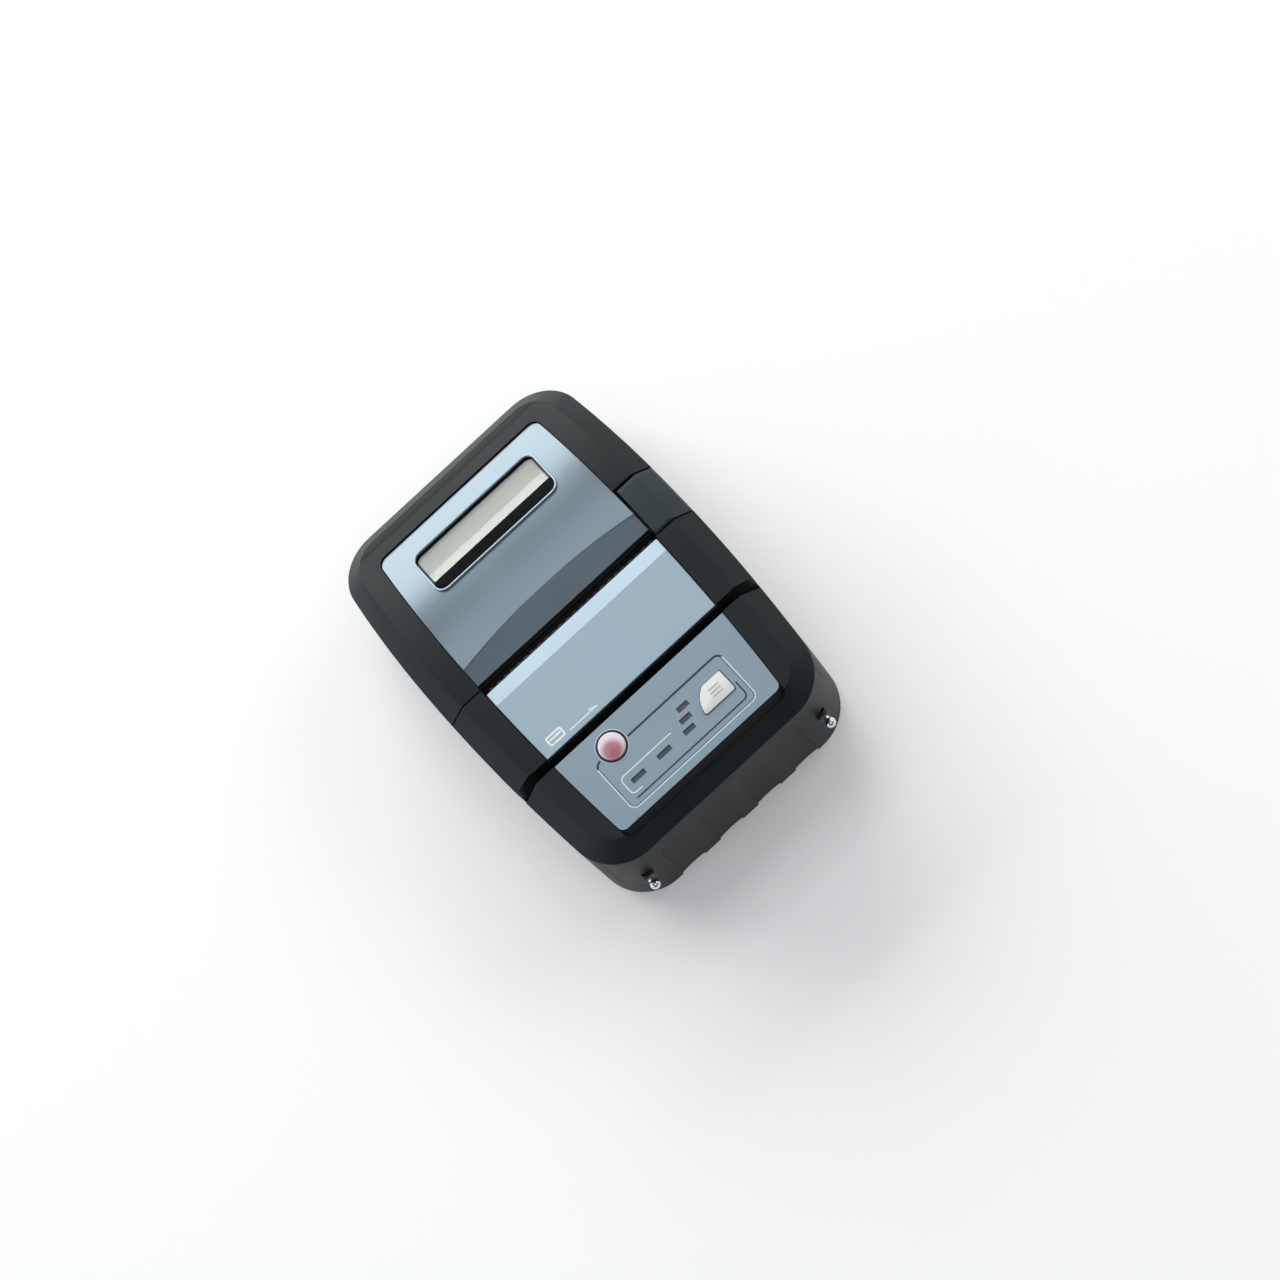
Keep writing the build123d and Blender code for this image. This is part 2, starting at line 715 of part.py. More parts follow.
def window_face(grow=0.0):
    """Plan of the window, grown on all sides."""
    width = 2 * (WINDOW_HALF + grow)
    middle = (WINDOW_BACK + WINDOW_FRONT) / 2
    return Pos(0, middle) * RectangleRounded(width, WINDOW_LENGTH + 2 * grow, WINDOW_CORNER + grow)


def make_cover_shell():
    """Inner shell of the cover with its hinge knuckles and window hole."""
    shell = skin(CASE_OUTER, CASE_INNER) & cover_zone()
    inside = span(0, 2 * (PANEL_HALF + PAST))
    shell -= block(inside, (-REACH, COVER_PANEL_FRONT), (0, REACH))
    window_y = (WINDOW_FRONT + WINDOW_LEDGE, WINDOW_BACK - WINDOW_LEDGE)
    shell -= block(span(0, 2 * (WINDOW_HALF - WINDOW_LEDGE)), window_y, (PARTING_Z, REACH))
    shell -= knuckle_channel()
    x0, x1 = KNUCKLE_MIDDLE_HALF + SEAT_GAP, HINGE_PIN_HALF
    leg = block(
        (x0, x1),
        (HINGE_Y - KNUCKLE_RADIUS / 2, END_Y),
        (HINGE_Z, HINGE_Z + 1.5 * KNUCKLE_RADIUS),
    )
    knuckle = (leg & envelope(CASE_OUTER)) + barrel(x0, x1)
    knuckle -= pin_bore(RUNNING_GAP)
    return shell + knuckle + mirrored(knuckle)


def ramp_cut():
    """Wedge off the cover panel, from a bowed crease down to the paper exit."""
    crease = COVER_PANEL_FRONT + RAMP_LENGTH
    far_side = PANEL_HALF + PAST
    front = COVER_PANEL_FRONT - PAST
    low = PANEL_TOP_Z - RAMP_FALL
    plan = [
        ThreePointArc((-far_side, crease), (0, crease + RAMP_BOW), (far_side, crease)),
        Line((far_side, crease), (far_side, front)),
        Line((far_side, front), (-far_side, front)),
        Line((-far_side, front), (-far_side, crease)),
    ]
    tool = upright(make_face(Curve() + plan))
    crown = crease + RAMP_BOW
    slope = RAMP_FALL / (crown - COVER_PANEL_FRONT)
    wedge = plate(
        [
            (front, low - slope * PAST),
            (crown, PANEL_TOP_Z),
            (crown, BODY_HEIGHT + PAST),
            (front, BODY_HEIGHT + PAST),
        ],
        -far_side,
        far_side,
    )
    return tool & wedge


def make_cover_panel():
    """Grey cover panel with its window and the ramp down to the paper exit."""
    plan = panel_face(COVER_PANEL_FRONT, COVER_PANEL_BACK, 0, 0, COVER_PANEL_CORNER)
    panel = skin(PANEL_DROP, RUBBER_WALL) & upright(plan)
    return panel - upright(window_face()) - ramp_cut()


def make_window_lens():
    """Clear lens, curved with the cover."""
    return skin(LENS_DROP, RUBBER_WALL) & upright(window_face(-FIT_GAP))


def make_upper_case():
    """Upper case of the front part, under the middle and control panels."""
    case = skin(CASE_OUTER, CASE_INNER) & base_zone()
    case &= block((-REACH, REACH), (-REACH, REACH), (PARTING_Z - SEAM_GAP + CASE_SEAM, REACH))
    inside = span(0, 2 * (PANEL_HALF + PAST))
    case -= block(inside, (MID_PANEL_BACK - TEAR_BAR_THICKNESS - FIT_GAP, REACH), (0, REACH))
    case -= key_zone(KEY_GAP, KEY_TRAVEL)
    case -= key_skirt_zone(SEAM_GAP, KEY_TRAVEL)
    wall = TRACK_WALL + FIT_GAP
    track_y = (SLOT_FRONT - wall, SLOT_BACK + wall)
    case -= block((-REACH, REACH), track_y, (SLOT_FLOOR_Z - wall, REACH))
    case -= post(POWER_X, POWER_Y, PARTING_Z, REACH, PLUNGER + 2 * BUTTON_GAP)
    case -= post(FEED_X, FEED_Y, PARTING_Z, REACH, PLUNGER + 2 * BUTTON_GAP)
    for x, y, short in lamp_places():
        case -= upright(Pos(x, y) * lamp_face(-FIT_GAP, short))
    return case - stud_holes()


def lamp_places():
    """Middles of the five indicator windows, and whether each is a short one."""
    row_y = SLOT_BACK - LAMP_ROW
    row = [(x, row_y, x > 0) for x in LAMP_ROW_X]
    steps = [(x, SLOT_BACK - setback, True) for x, setback in zip(LAMP_STEP_X, LAMP_STEP_BACK)]
    return row + steps


def lamp_face(grow=0.0, short=False):
    """Plan of an indicator window."""
    long_side = LAMP_LONG - (LAMP_SHORTER if short else 0.0)
    return Rectangle(long_side + 2 * grow, LAMP_WIDTH + 2 * grow)


def feed_face(grow=0.0):
    """Plan of the feed button, a trapezoid with one bowed side."""
    back = FEED_LENGTH / 2 + grow
    right = FEED_FRONT_WIDTH / 2 + grow
    back_left = FEED_FRONT_WIDTH / 2 - FEED_BACK_WIDTH - grow
    front_left = -FEED_FRONT_WIDTH / 2 - grow
    bow = ((back_left + front_left) / 2 - FEED_BOW, FEED_BOW)
    edges = [
        Line((right, -back), (right, back)),
        Line((right, back), (back_left, back)),
        ThreePointArc((back_left, back), bow, (front_left, -back)),
        Line((front_left, -back), (right, -back)),
    ]
    return Pos(FEED_X, FEED_Y) * make_face(Curve() + edges)


def make_mid_panel():
    """Grey middle panel with the bevel along the paper exit."""
    panel = skin(PANEL_DROP, RUBBER_WALL) & upright(panel_face(SLOT_BACK, MID_PANEL_BACK))
    edge = MID_PANEL_BACK - MID_BEVEL_LENGTH
    slope = MID_BEVEL_FALL / MID_BEVEL_LENGTH
    past = MID_PANEL_BACK + PAST
    low = PANEL_TOP_Z - MID_BEVEL_FALL - slope * PAST
    wedge = [(edge, PANEL_TOP_Z), (past, low), (past, BODY_HEIGHT), (edge, BODY_HEIGHT)]
    return panel - plate(wedge, -REACH, REACH)


def make_control_panel():
    """Grey control panel with holes for the buttons and indicators."""
    plan = panel_face(CONTROL_PANEL_FRONT, SLOT_FRONT, 0, CONTROL_PANEL_CORNER)
    panel = skin(PANEL_DROP, RUBBER_WALL) & upright(plan)
    panel -= upright(Pos(POWER_X, POWER_Y) * Circle(POWER_RADIUS + BUTTON_GAP))
    panel -= upright(feed_face(BUTTON_GAP))
    for x, y, short in lamp_places():
        panel -= upright(Pos(x, y) * lamp_face(0, short))
    return panel


def make_lamp_windows():
    """Five dark indicator windows, just below the face of the panel."""
    height = PANEL_TOP_Z - LAMP_DROP - CASE_TOP_Z
    return [
        Pos(x, y, CASE_TOP_Z) * extrude(lamp_face(-FIT_GAP, short), height)
        for x, y, short in lamp_places()
    ]


def make_card_track():
    """Dark channel that guides the card, with a window for the reading head."""
    outer = block(
        (-REACH, REACH),
        (SLOT_FRONT - TRACK_WALL, SLOT_BACK + TRACK_WALL),
        (SLOT_FLOOR_Z - TRACK_WALL, CASE_TOP_Z),
    )
    track = (outer & envelope(RUBBER_WALL + FIT_GAP)) - slot_cut(SLOT_FLOOR_Z)
    head = block(
        span(READER_X, READER_WIDTH + 2 * FIT_GAP),
        (SLOT_BACK - SLOT_WIDTH / 2, SLOT_BACK + TRACK_WALL + PAST),
        (READER_BOTTOM - FIT_GAP, READER_TOP + FIT_GAP),
    )
    return track - head


def make_reading_head():
    """Magnetic reading head with its rounded nose in the slot."""
    body = block(
        span(READER_X, READER_WIDTH),
        (SLOT_BACK, SLOT_BACK + READER_DEPTH),
        (READER_BOTTOM, READER_TOP),
    )
    front = body.edges().filter_by(Axis.Z).group_by(Axis.Y)[0]
    return fillet(front, READER_NOSE)


def make_open_button():
    """Open button that wraps the right shoulder, with a skirt, a push rib and a guide."""
    key = skin(0.0, CASE_INNER) & key_zone()
    skirt_top = KEY_BOTTOM + PAST
    skirt = skin(CASE_OUTER + FIT_GAP, CASE_INNER) & key_skirt_zone()
    skirt &= block((-REACH, REACH), (-REACH, REACH), (0, skirt_top))
    rib_x = LEVER_INNER_X + TAB_LENGTH - KEY_RIB - FIT_GAP
    rib_y = LEVER_PIVOT_Y + LEVER_REACH - SEAM_GAP
    ceiling = CASE_CEILING_Z + OVERLAP
    rib = block(
        (rib_x, rib_x + KEY_RIB), (rib_y, rib_y + KEY_RIB_LENGTH), (TAB_TOP_Z + KEY_RIB_GAP, ceiling)
    )
    guide_x = ARM_OUTER_X + SEAT_GAP
    guide = block(
        (guide_x, guide_x + KEY_RIB),
        (PLATEN_Y - ARM_NECK, PLATEN_Y - ARM_NECK + KEY_GUIDE_LENGTH),
        (PLATEN_Z + BUSHING_SIZE / math.sqrt(2) + KEY_TRAVEL + MOVE_GAP, ceiling),
    )
    return key + skirt + ((rib + guide) & envelope(RUBBER_WALL))


def make_latch_lever():
    """Lever that holds the end of the platen shaft down."""
    x0, x1 = LEVER_INNER_X, LEVER_OUTER_X
    y, z = LEVER_PIVOT_Y, LEVER_PIVOT_Z
    nose_z = PLATEN_Z + SHAFT_RADIUS + MOVE_GAP
    nose_y = PLATEN_Y - HOOK_LAP
    hook = plate(
        [
            (y - LEVER_ARM, z),
            (y + LEVER_ARM, z),
            (y + LEVER_ARM, nose_z + HOOK_HEIGHT - HOOK_BACK / 2),
            (nose_y + 1.5 * HOOK_LAP, nose_z + HOOK_HEIGHT),
            (nose_y, nose_z + HOOK_BACK),
            (nose_y, nose_z),
            (y - HOOK_BACK, nose_z),
            (y - HOOK_BACK, nose_z - SHAFT_RADIUS - HOOK_HEIGHT),
            (y - LEVER_ARM, nose_z - 2.5 * HOOK_HEIGHT),
        ],
        x0,
        x1,
    )
    tab_end = y + LEVER_REACH + TAB_REACH
    tab_bottom = TAB_TOP_Z - TAB_THICKNESS
    arm = plate(
        [
            (y, z - LEVER_ARM),
            (tab_end, tab_bottom - HOOK_BACK / 2),
            (tab_end, TAB_TOP_Z),
            (y, TAB_TOP_Z),
        ],
        x0,
        x1,
    )
    tab = block((x0, x0 + TAB_LENGTH), (tab_end - TAB_LENGTH, tab_end), (tab_bottom, TAB_TOP_Z))
    lever = block((x0, x1), span(y, LEVER_HUB), span(z, LEVER_HUB)) + hook + arm + tab
    return lever - rod(LEVER_PIN_RADIUS + RUNNING_GAP, x0 - PAST, x1 + PAST, y, z)


def gear_face(teeth, phase):
    """Spur gear profile with straight-flanked teeth, one tooth centred on the phase angle."""
    pitch_radius = GEAR_MODULE * teeth / 2
    root = pitch_radius - GEAR_ROOT * GEAR_MODULE
    tip = pitch_radius + GEAR_TIP * GEAR_MODULE
    pitch = 360 / teeth
    half = pitch / 4 * GEAR_BACKLASH
    slant = math.degrees(math.tan(math.radians(PRESSURE_ANGLE)) * GEAR_MODULE / pitch_radius)
    points = []
    for i in range(teeth):
        for radius, offset in (
            (root, -half - slant),
            (tip, -half + slant),
            (tip, half - slant),
            (root, half + slant),
        ):
            points.append(polar(radius, phase + i * pitch + offset, (0, 0)))
    return make_face(Polyline(*points, close=True))


def polar(radius, angle, start):
    """Point at a distance and angle from a start."""
    turn = math.radians(angle)
    return start[0] + radius * math.cos(turn), start[1] + radius * math.sin(turn)


def mesh_distance(teeth_a, teeth_b):
    """Distance between the middles of two gears in mesh."""
    return GEAR_MODULE * (teeth_a + teeth_b) / 2 + GEAR_DISTANCE_GAP


IDLER_AXIS = polar(mesh_distance(PLATEN_TEETH, IDLER_TEETH), IDLER_DIRECTION, PLATEN_AXIS)
PINION_AXIS = polar(mesh_distance(IDLER_TEETH, PINION_TEETH), PINION_DIRECTION, IDLER_AXIS)


def idler_phase():
    """Tooth angle of the idler that puts it in mesh with the platen's gear."""
    return IDLER_DIRECTION + 180 + 180 / IDLER_TEETH


def pinion_phase():
    """Tooth angle of the pinion that puts it in mesh with the idler."""
    idler_pitch = 360 / IDLER_TEETH
    pinion_pitch = 360 / PINION_TEETH
    share = ((PINION_DIRECTION - idler_phase()) % idler_pitch) / idler_pitch
    return PINION_DIRECTION + 180 + (share + 0.5) * pinion_pitch


def gear(teeth, phase, axis, bore):
    """Gear on the left side with a bore."""
    face = side_plane(-GEAR_OUTER_X) * Pos(*axis) * (gear_face(teeth, phase) - Circle(bore))
    return extrude(face, GEAR_FACE)


def make_platen_gear():
    """Gear on the left end of the platen's shaft."""
    return gear(PLATEN_TEETH, IDLER_DIRECTION, PLATEN_AXIS, SHAFT_RADIUS)


def make_idler_gear():
    """Gear between the motor's pinion and the platen's gear."""
    return gear(IDLER_TEETH, idler_phase(), IDLER_AXIS, IDLER_PIN_RADIUS + RUNNING_GAP)


def make_pinion():
    """Motor pinion with its shaft."""
    toothed = gear(PINION_TEETH, pinion_phase(), PINION_AXIS, MOTOR_SHAFT_RADIUS)
    return toothed + rod(MOTOR_SHAFT_RADIUS, -GEAR_OUTER_X, -CHASSIS_INNER_X - FIT_GAP, *PINION_AXIS)


def bushing_form(x0, x1, gap=0.0, rise=0.0, slant=1.0):
    """Square bar along X, turned to the notch's direction, that widens over its rise."""
    up = math.radians(IDLER_DIRECTION - 180)
    along_y, along_z = math.cos(up), math.sin(up)
    low = BUSHING_SIZE / 2 + gap
    high = low + rise
    corners = [(-low, -low), (-low, low), (high, low * slant), (high, -low * slant)]
    y, z = PLATEN_AXIS
    points = [(y + a * along_y - b * along_z, z + a * along_z + b * along_y) for a, b in corners]
    return plate(points, x0, x1)


def make_platen_bracket():
    """Bracket under the cover's free edge that carries the platen."""
    y0 = COVER_PANEL_FRONT + BRACKET_FRONT_GAP
    y1 = COVER_PANEL_FRONT + BRACKET_DEPTH
    bottom = BRACKET_TOP_Z - BRACKET_PLATE
    top = block((-ARM_OUTER_X, ARM_OUTER_X), (y0, y1), (bottom, BRACKET_TOP_Z))
    arm = plate(
        [
            (PLATEN_Y - ARM_NECK, BRACKET_TOP_Z),
            (PLATEN_Y - ARM_REACH, PLATEN_Z + ARM_NECK),
            (PLATEN_Y - ARM_REACH, PLATEN_Z - ARM_NECK),
            (PLATEN_Y - ARM_NECK, PLATEN_Z - ARM_REACH),
            (PLATEN_Y + ARM_NECK, PLATEN_Z - ARM_REACH),
            (PLATEN_Y + ARM_REACH, PLATEN_Z - ARM_NECK),
            (y1, BRACKET_TOP_Z),
        ],
        ARM_INNER_X,
        ARM_OUTER_X,
    )
    bracket = top + arm + mirrored(arm)
    bracket -= bushing_form(-REACH, REACH, PRESS_GAP)
    for x in (-BRACKET_BOSS_X, BRACKET_BOSS_X):
        boss_top = CASE_CEILING_Z - RUNNING_GAP
        bracket += post(x, (y0 + y1) / 2, BRACKET_TOP_Z - OVERLAP, boss_top, BRACKET_BOSS)
    return bracket


def make_bushings():
    """Two square bushings for the platen shaft, which also seat it in the chassis notches."""
    right = bushing_form(ARM_INNER_X - BUSHING_LIP, CHASSIS_OUTER_X)
    right -= rod(SHAFT_RADIUS + RUNNING_GAP, 0, REACH, *PLATEN_AXIS)
    return [right, mirrored(right)]


def make_platen_shaft():
    """Steel shaft of the platen."""
    return rod(SHAFT_RADIUS, -GEAR_OUTER_X - SEAT_GAP, LEVER_OUTER_X + SHAFT_END, *PLATEN_AXIS)


def make_platen_roller():
    """Rubber sleeve of the platen."""
    sleeve = rod(PLATEN_RADIUS, -PLATEN_HALF, PLATEN_HALF, *PLATEN_AXIS)
    return sleeve - rod(SHAFT_RADIUS, -PLATEN_HALF, PLATEN_HALF, *PLATEN_AXIS)


def make_chassis():
    """Folded steel chassis with notches for the platen bushings."""
    shoulder_y = CHASSIS_BACK - CHASSIS_SHOULDER / 4
    side = plate(
        [
            (CHASSIS_WALL_Y, CHASSIS_FOOT_Z),
            (CHASSIS_BACK, CHASSIS_FOOT_Z),
            (CHASSIS_BACK, CHASSIS_TOP - CHASSIS_SHOULDER),
            (shoulder_y, CHASSIS_TOP),
            (CHASSIS_WALL_Y, CHASSIS_TOP),
        ],
        CHASSIS_INNER_X,
        CHASSIS_OUTER_X,
    )
    side -= bushing_form(CHASSIS_INNER_X, CHASSIS_OUTER_X, SEAT_GAP, NOTCH_LENGTH, NOTCH_SLANT)
    wall = block(
        (-CHASSIS_OUTER_X, CHASSIS_OUTER_X),
        (CHASSIS_WALL_Y, CHASSIS_WALL_Y + CHASSIS_SHEET),
        (PLATEN_Z - CHASSIS_WALL_DROP, CHASSIS_TOP),
    )
    chassis = side + mirrored(side) + wall
    lever_pin_end = LEVER_OUTER_X + PIN_HEAD
    chassis += rod(LEVER_PIN_RADIUS, CHASSIS_INNER_X, lever_pin_end, LEVER_PIVOT_Y, LEVER_PIVOT_Z)
    chassis += rod(IDLER_PIN_RADIUS, -CHASSIS_INNER_X, -GEAR_OUTER_X - SEAT_GAP, *IDLER_AXIS)
    y, z = PINION_AXIS
    return chassis - block((-REACH, 0), span(y, MOTOR_HOLE), span(z, MOTOR_HOLE))


def make_motor():
    """Stepper motor with its eared front plate."""
    x0 = -CHASSIS_INNER_X + FIT_GAP
    x1 = x0 + MOTOR_PLATE
    ear, side = MOTOR_RADIUS + MOTOR_EAR, MOTOR_RADIUS - MOTOR_PLATE
    shape = [(MOTOR_EAR_HALF, ear), (side, MOTOR_EAR_HALF), (side, -MOTOR_EAR_HALF), (MOTOR_EAR_HALF, -ear)]
    shape += [(-y, -z) for y, z in shape]
    y, z = PINION_AXIS
    front = plate([(y + across, z + up) for across, up in shape], x0, x1)
    return front + rod(MOTOR_RADIUS, x1, x0 + MOTOR_LENGTH, y, z)


def make_print_head():
    """Ceramic print head strip."""
    return block((-HEAD_HALF, HEAD_HALF), (HEAD_BACK_Y, HEAD_FACE_Y), (HEAD_BOTTOM, HEAD_TOP))


def make_heat_sink():
    """Ribbed metal back of the print head."""
    y0 = HEAD_BACK_Y - SINK_THICKNESS
    height = (HEAD_BOTTOM - SINK_MARGIN, HEAD_TOP + SINK_MARGIN)
    sink = block(span(0, 2 * (HEAD_HALF + SINK_SIDE)), (y0, HEAD_BACK_Y), height)
    for i in range(SINK_GROOVES):
        x = (i - (SINK_GROOVES - 1) / 2) * SINK_FIN_PITCH
        sink -= block(span(x, SINK_GROOVE), (y0, HEAD_BACK_Y - SINK_THICKNESS + SINK_WEB), height)
    return sink


def make_tear_bar():
    """Serrated steel strip at the paper exit."""
    top = PANEL_TOP_Z - MID_BEVEL_FALL
    half = PANEL_HALF - TEAR_BAR_SHORT
    pitch = 2 * half / TEAR_TEETH
    points = [(-half, top - TEAR_BAR_HEIGHT), (half, top - TEAR_BAR_HEIGHT)]
    for i in range(TEAR_TEETH):
        x = half - i * pitch
        points.append((x, top - TEAR_TOOTH_HEIGHT))
        points.append((x - pitch / 2, top))
    points.append((-half, top - TEAR_TOOTH_HEIGHT))
    back = MID_PANEL_BACK + FIT_GAP + TEAR_BAR_THICKNESS
    plane = Plane(origin=(0, back, 0), x_dir=(1, 0, 0), z_dir=(0, -1, 0))
    return extrude(plane * make_face(Polyline(*points, close=True)), TEAR_BAR_THICKNESS)


def make_cradle():
    """Trough with side cheeks that carries the paper roll."""
    half = CRADLE_RADIUS + CRADLE_WALL
    foot = half * CRADLE_FOOT
    low = ROLL_Z - half
    rim = CRADLE_RIM_Z
    outline = [
        (ROLL_Y - half, rim),
        (ROLL_Y - half, low + half - foot),
        (ROLL_Y - foot, low),
        (ROLL_Y + foot, low),
        (ROLL_Y + half, low + half - foot),
        (ROLL_Y + half, rim),
    ]
    trough = plate(outline, -CHEEK_X, CHEEK_X)
    trough -= rod(CRADLE_RADIUS, -CHEEK_X, CHEEK_X, ROLL_Y, ROLL_Z)
    cheek = plate(outline, CHEEK_X, CHEEK_X + CHEEK_THICKNESS)
    return trough + cheek + mirrored(cheek)


def roll_tube(outer, inner):
    """Tube as wide as the paper, on the roll's axis."""
    tube = rod(outer, -ROLL_HALF, ROLL_HALF, ROLL_Y, ROLL_Z)
    return tube - rod(inner, -ROLL_HALF, ROLL_HALF, ROLL_Y, ROLL_Z)


def make_paper_roll():
    """Wound receipt paper."""
    return roll_tube(ROLL_RADIUS, CORE_RADIUS)


def make_roll_core():
    """Tube in the middle of the roll."""
    return roll_tube(CORE_RADIUS, CORE_BORE)


def make_paper_guide():
    """Bent guide plate from the cradle up to the print head."""
    foot_y = ROLL_Y - CRADLE_RADIUS - CRADLE_WALL + GUIDE_LAP
    foot_z = CRADLE_RIM_Z + SEAT_GAP + GUIDE_THICKNESS
    face = [
        (foot_y, foot_z),
        (PLATEN_Y + GUIDE_BEND_Y, PLATEN_Z - GUIDE_DROP),
        (PLATEN_Y - GUIDE_TIP_Y, PLATEN_Z - GUIDE_TIP_DROP),
    ]
    back = [(y, z - GUIDE_THICKNESS) for y, z in reversed(face)]
    return plate(face + back, -CHEEK_X, CHEEK_X)


def contact_places():
    """Middles of the battery's contacts."""
    return [(i - (CONTACT_COUNT - 1) / 2) * CONTACT_PITCH for i in range(CONTACT_COUNT)]


def make_battery():
    """Battery pack with flat-cut corners, contact pads and a pocket for its latch."""
    pocket = block(
        span(0, 2 * (LATCH_HALF + SEAT_GAP)),
        (BATTERY_BACK - LATCH_LENGTH - LATCH_TRAVEL - SEAT_GAP, BATTERY_BACK + PAST),
        (-PAST, NIB_TOP + LATCH_ROOF + SEAT_GAP),
    )
    pack = bay_box(0.0, 0.0) - pocket
    for x in contact_places():
        pack -= block(
            span(x, CONTACT_WIDTH + 2 * CONTACT_PAD),
            (BATTERY_FRONT - PAST, BATTERY_FRONT + CONTACT_LENGTH + 3 * CONTACT_PAD),
            (BATTERY_HEIGHT - CONTACT_PAD, REACH),
        )
    return pack


def make_battery_latch():
    """Sliding latch of the battery with a thumb groove."""
    back = BATTERY_BACK - SEAT_GAP
    body = block(
        span(0, 2 * LATCH_HALF), (BATTERY_BACK - LATCH_LENGTH, back), (LATCH_STEP, NIB_TOP + LATCH_ROOF)
    )
    groove = block(
        span(0, 2 * (LATCH_HALF - THUMB_MARGIN)),
        (back - THUMB_GROOVE - PAST, back - PAST),
        (-PAST, LATCH_STEP + THUMB_DEPTH),
    )
    nib = latch_nib() & block((-REACH, REACH), (back - NIB_REACH / 2, REACH), (-PAST, REACH))
    return (body - groove) + nib


def make_battery_contacts():
    """Sprung contacts in the ceiling of the battery bay."""
    y0 = BATTERY_FRONT + CONTACT_PAD + OVERLAP
    height = (BATTERY_HEIGHT - FIT_GAP, BATTERY_HEIGHT + BAY_GAP - PRESS_GAP)
    return [block(span(x, CONTACT_WIDTH), (y0, y0 + CONTACT_LENGTH), height) for x in contact_places()]


def with_plunger(cap, x, y):
    """Button cap with the plunger down to its switch."""
    low = SWITCH_BOARD_TOP + SWITCH_HEIGHT + PLUNGER_GAP
    top = CASE_TOP_Z + BUTTON_TRAVEL + 2 * FIT_GAP
    return cap + post(x, y, low, top, PLUNGER)


def button_cap(face):
    """Cap over a plan, from above the case to above the panel."""
    bottom = CASE_TOP_Z + BUTTON_TRAVEL + FIT_GAP
    return Pos(0, 0, bottom) * extrude(face, PANEL_TOP_Z + BUTTON_RISE - bottom)


def make_power_button():
    """Round power button."""
    cap = button_cap(Pos(POWER_X, POWER_Y) * Circle(POWER_RADIUS))
    return with_plunger(cap, POWER_X, POWER_Y)


def make_feed_button():
    """Paper feed button."""
    return with_plunger(button_cap(feed_face()), FEED_X, FEED_Y)


def make_switch_board():
    """Board under the control panel with posts up to the case."""
    front = CONTROL_PANEL_FRONT + SWITCH_BOARD_FRONT
    back = SLOT_FRONT - SWITCH_BOARD_BACK
    half = SWITCH_BOARD_HALF
    board = block((-half, half), (front, back), (SWITCH_BOARD_Z, SWITCH_BOARD_TOP))
    for x in (POST_MARGIN - half, half - POST_MARGIN):
        for y in (front + POST_MARGIN, back - POST_MARGIN):
            board += post(x, y, SWITCH_BOARD_TOP - OVERLAP, CASE_CEILING_Z - RUNNING_GAP)
    return board


def make_switches():
    """Two push switches under the buttons."""
    z0 = SWITCH_BOARD_TOP
    shoulder = z0 + SWITCH_HEIGHT - SWITCH_BUTTON_HEIGHT
    made = []
    for x, y in ((POWER_X, POWER_Y), (FEED_X, FEED_Y)):
        switch = post(x, y, z0, shoulder, SWITCH_SIZE)
        made.append(switch + post(x, y, shoulder - OVERLAP, z0 + SWITCH_HEIGHT, SWITCH_BUTTON))
    return made


def make_indicator_chips():
    """Five small lamps on the switch board."""
    width, length, height = LAMP_CHIP
    z0 = SWITCH_BOARD_TOP
    return [block(span(x, width), span(y, length), (z0, z0 + height)) for x, y, short in lamp_places()]


def make_main_board():
    """Main circuit board above the battery bay, on four posts."""
    half = BATTERY_HALF + MAIN_BOARD_SIDE
    back = BATTERY_BACK + PAST
    board = block((-half, half), (BATTERY_FRONT, back), (MAIN_BOARD_Z, MAIN_BOARD_TOP))
    for x in (MAIN_POST_INSET - half, half - MAIN_POST_INSET):
        for y in (BATTERY_FRONT + MAIN_POST_INSET, BATTERY_BACK - MAIN_POST_INSET):
            board += post(x, y, BAY_TOP_Z, MAIN_BOARD_Z + OVERLAP)
    return board


def make_board_parts():
    """Processor, radio module, two sockets and a coil on the main board."""
    made = []
    for x, setback, width, length, height in (PROCESSOR, RADIO_MODULE, MOTOR_SOCKET, HEAD_SOCKET, COIL):
        y = span(BATTERY_FRONT + setback, length)
        made.append(block(span(x, width), y, (MAIN_BOARD_TOP, MAIN_BOARD_TOP + height)))
    return made


def make_studs():
    """Two steel strap studs with a square root, a neck and a round head."""
    neck_end = STUD_HEAD_LENGTH - STUD_REACH - END_Y
    face = Plane(origin=(STUD_X, SEAT_GAP - END_Y, STUD_Z), x_dir=(1, 0, 0), z_dir=(0, -1, 0))
    head_face = face.offset(SEAT_GAP - END_Y - neck_end)
    right = stud_root(STUD_ROOT_DEPTH - END_Y, SEAT_GAP - END_Y)
    right += extrude(face * Circle(STUD_NECK_RADIUS), SEAT_GAP - END_Y - neck_end)
    right += extrude(head_face * Circle(STUD_HEAD_RADIUS), STUD_HEAD_LENGTH)
    return [right, mirrored(right)]


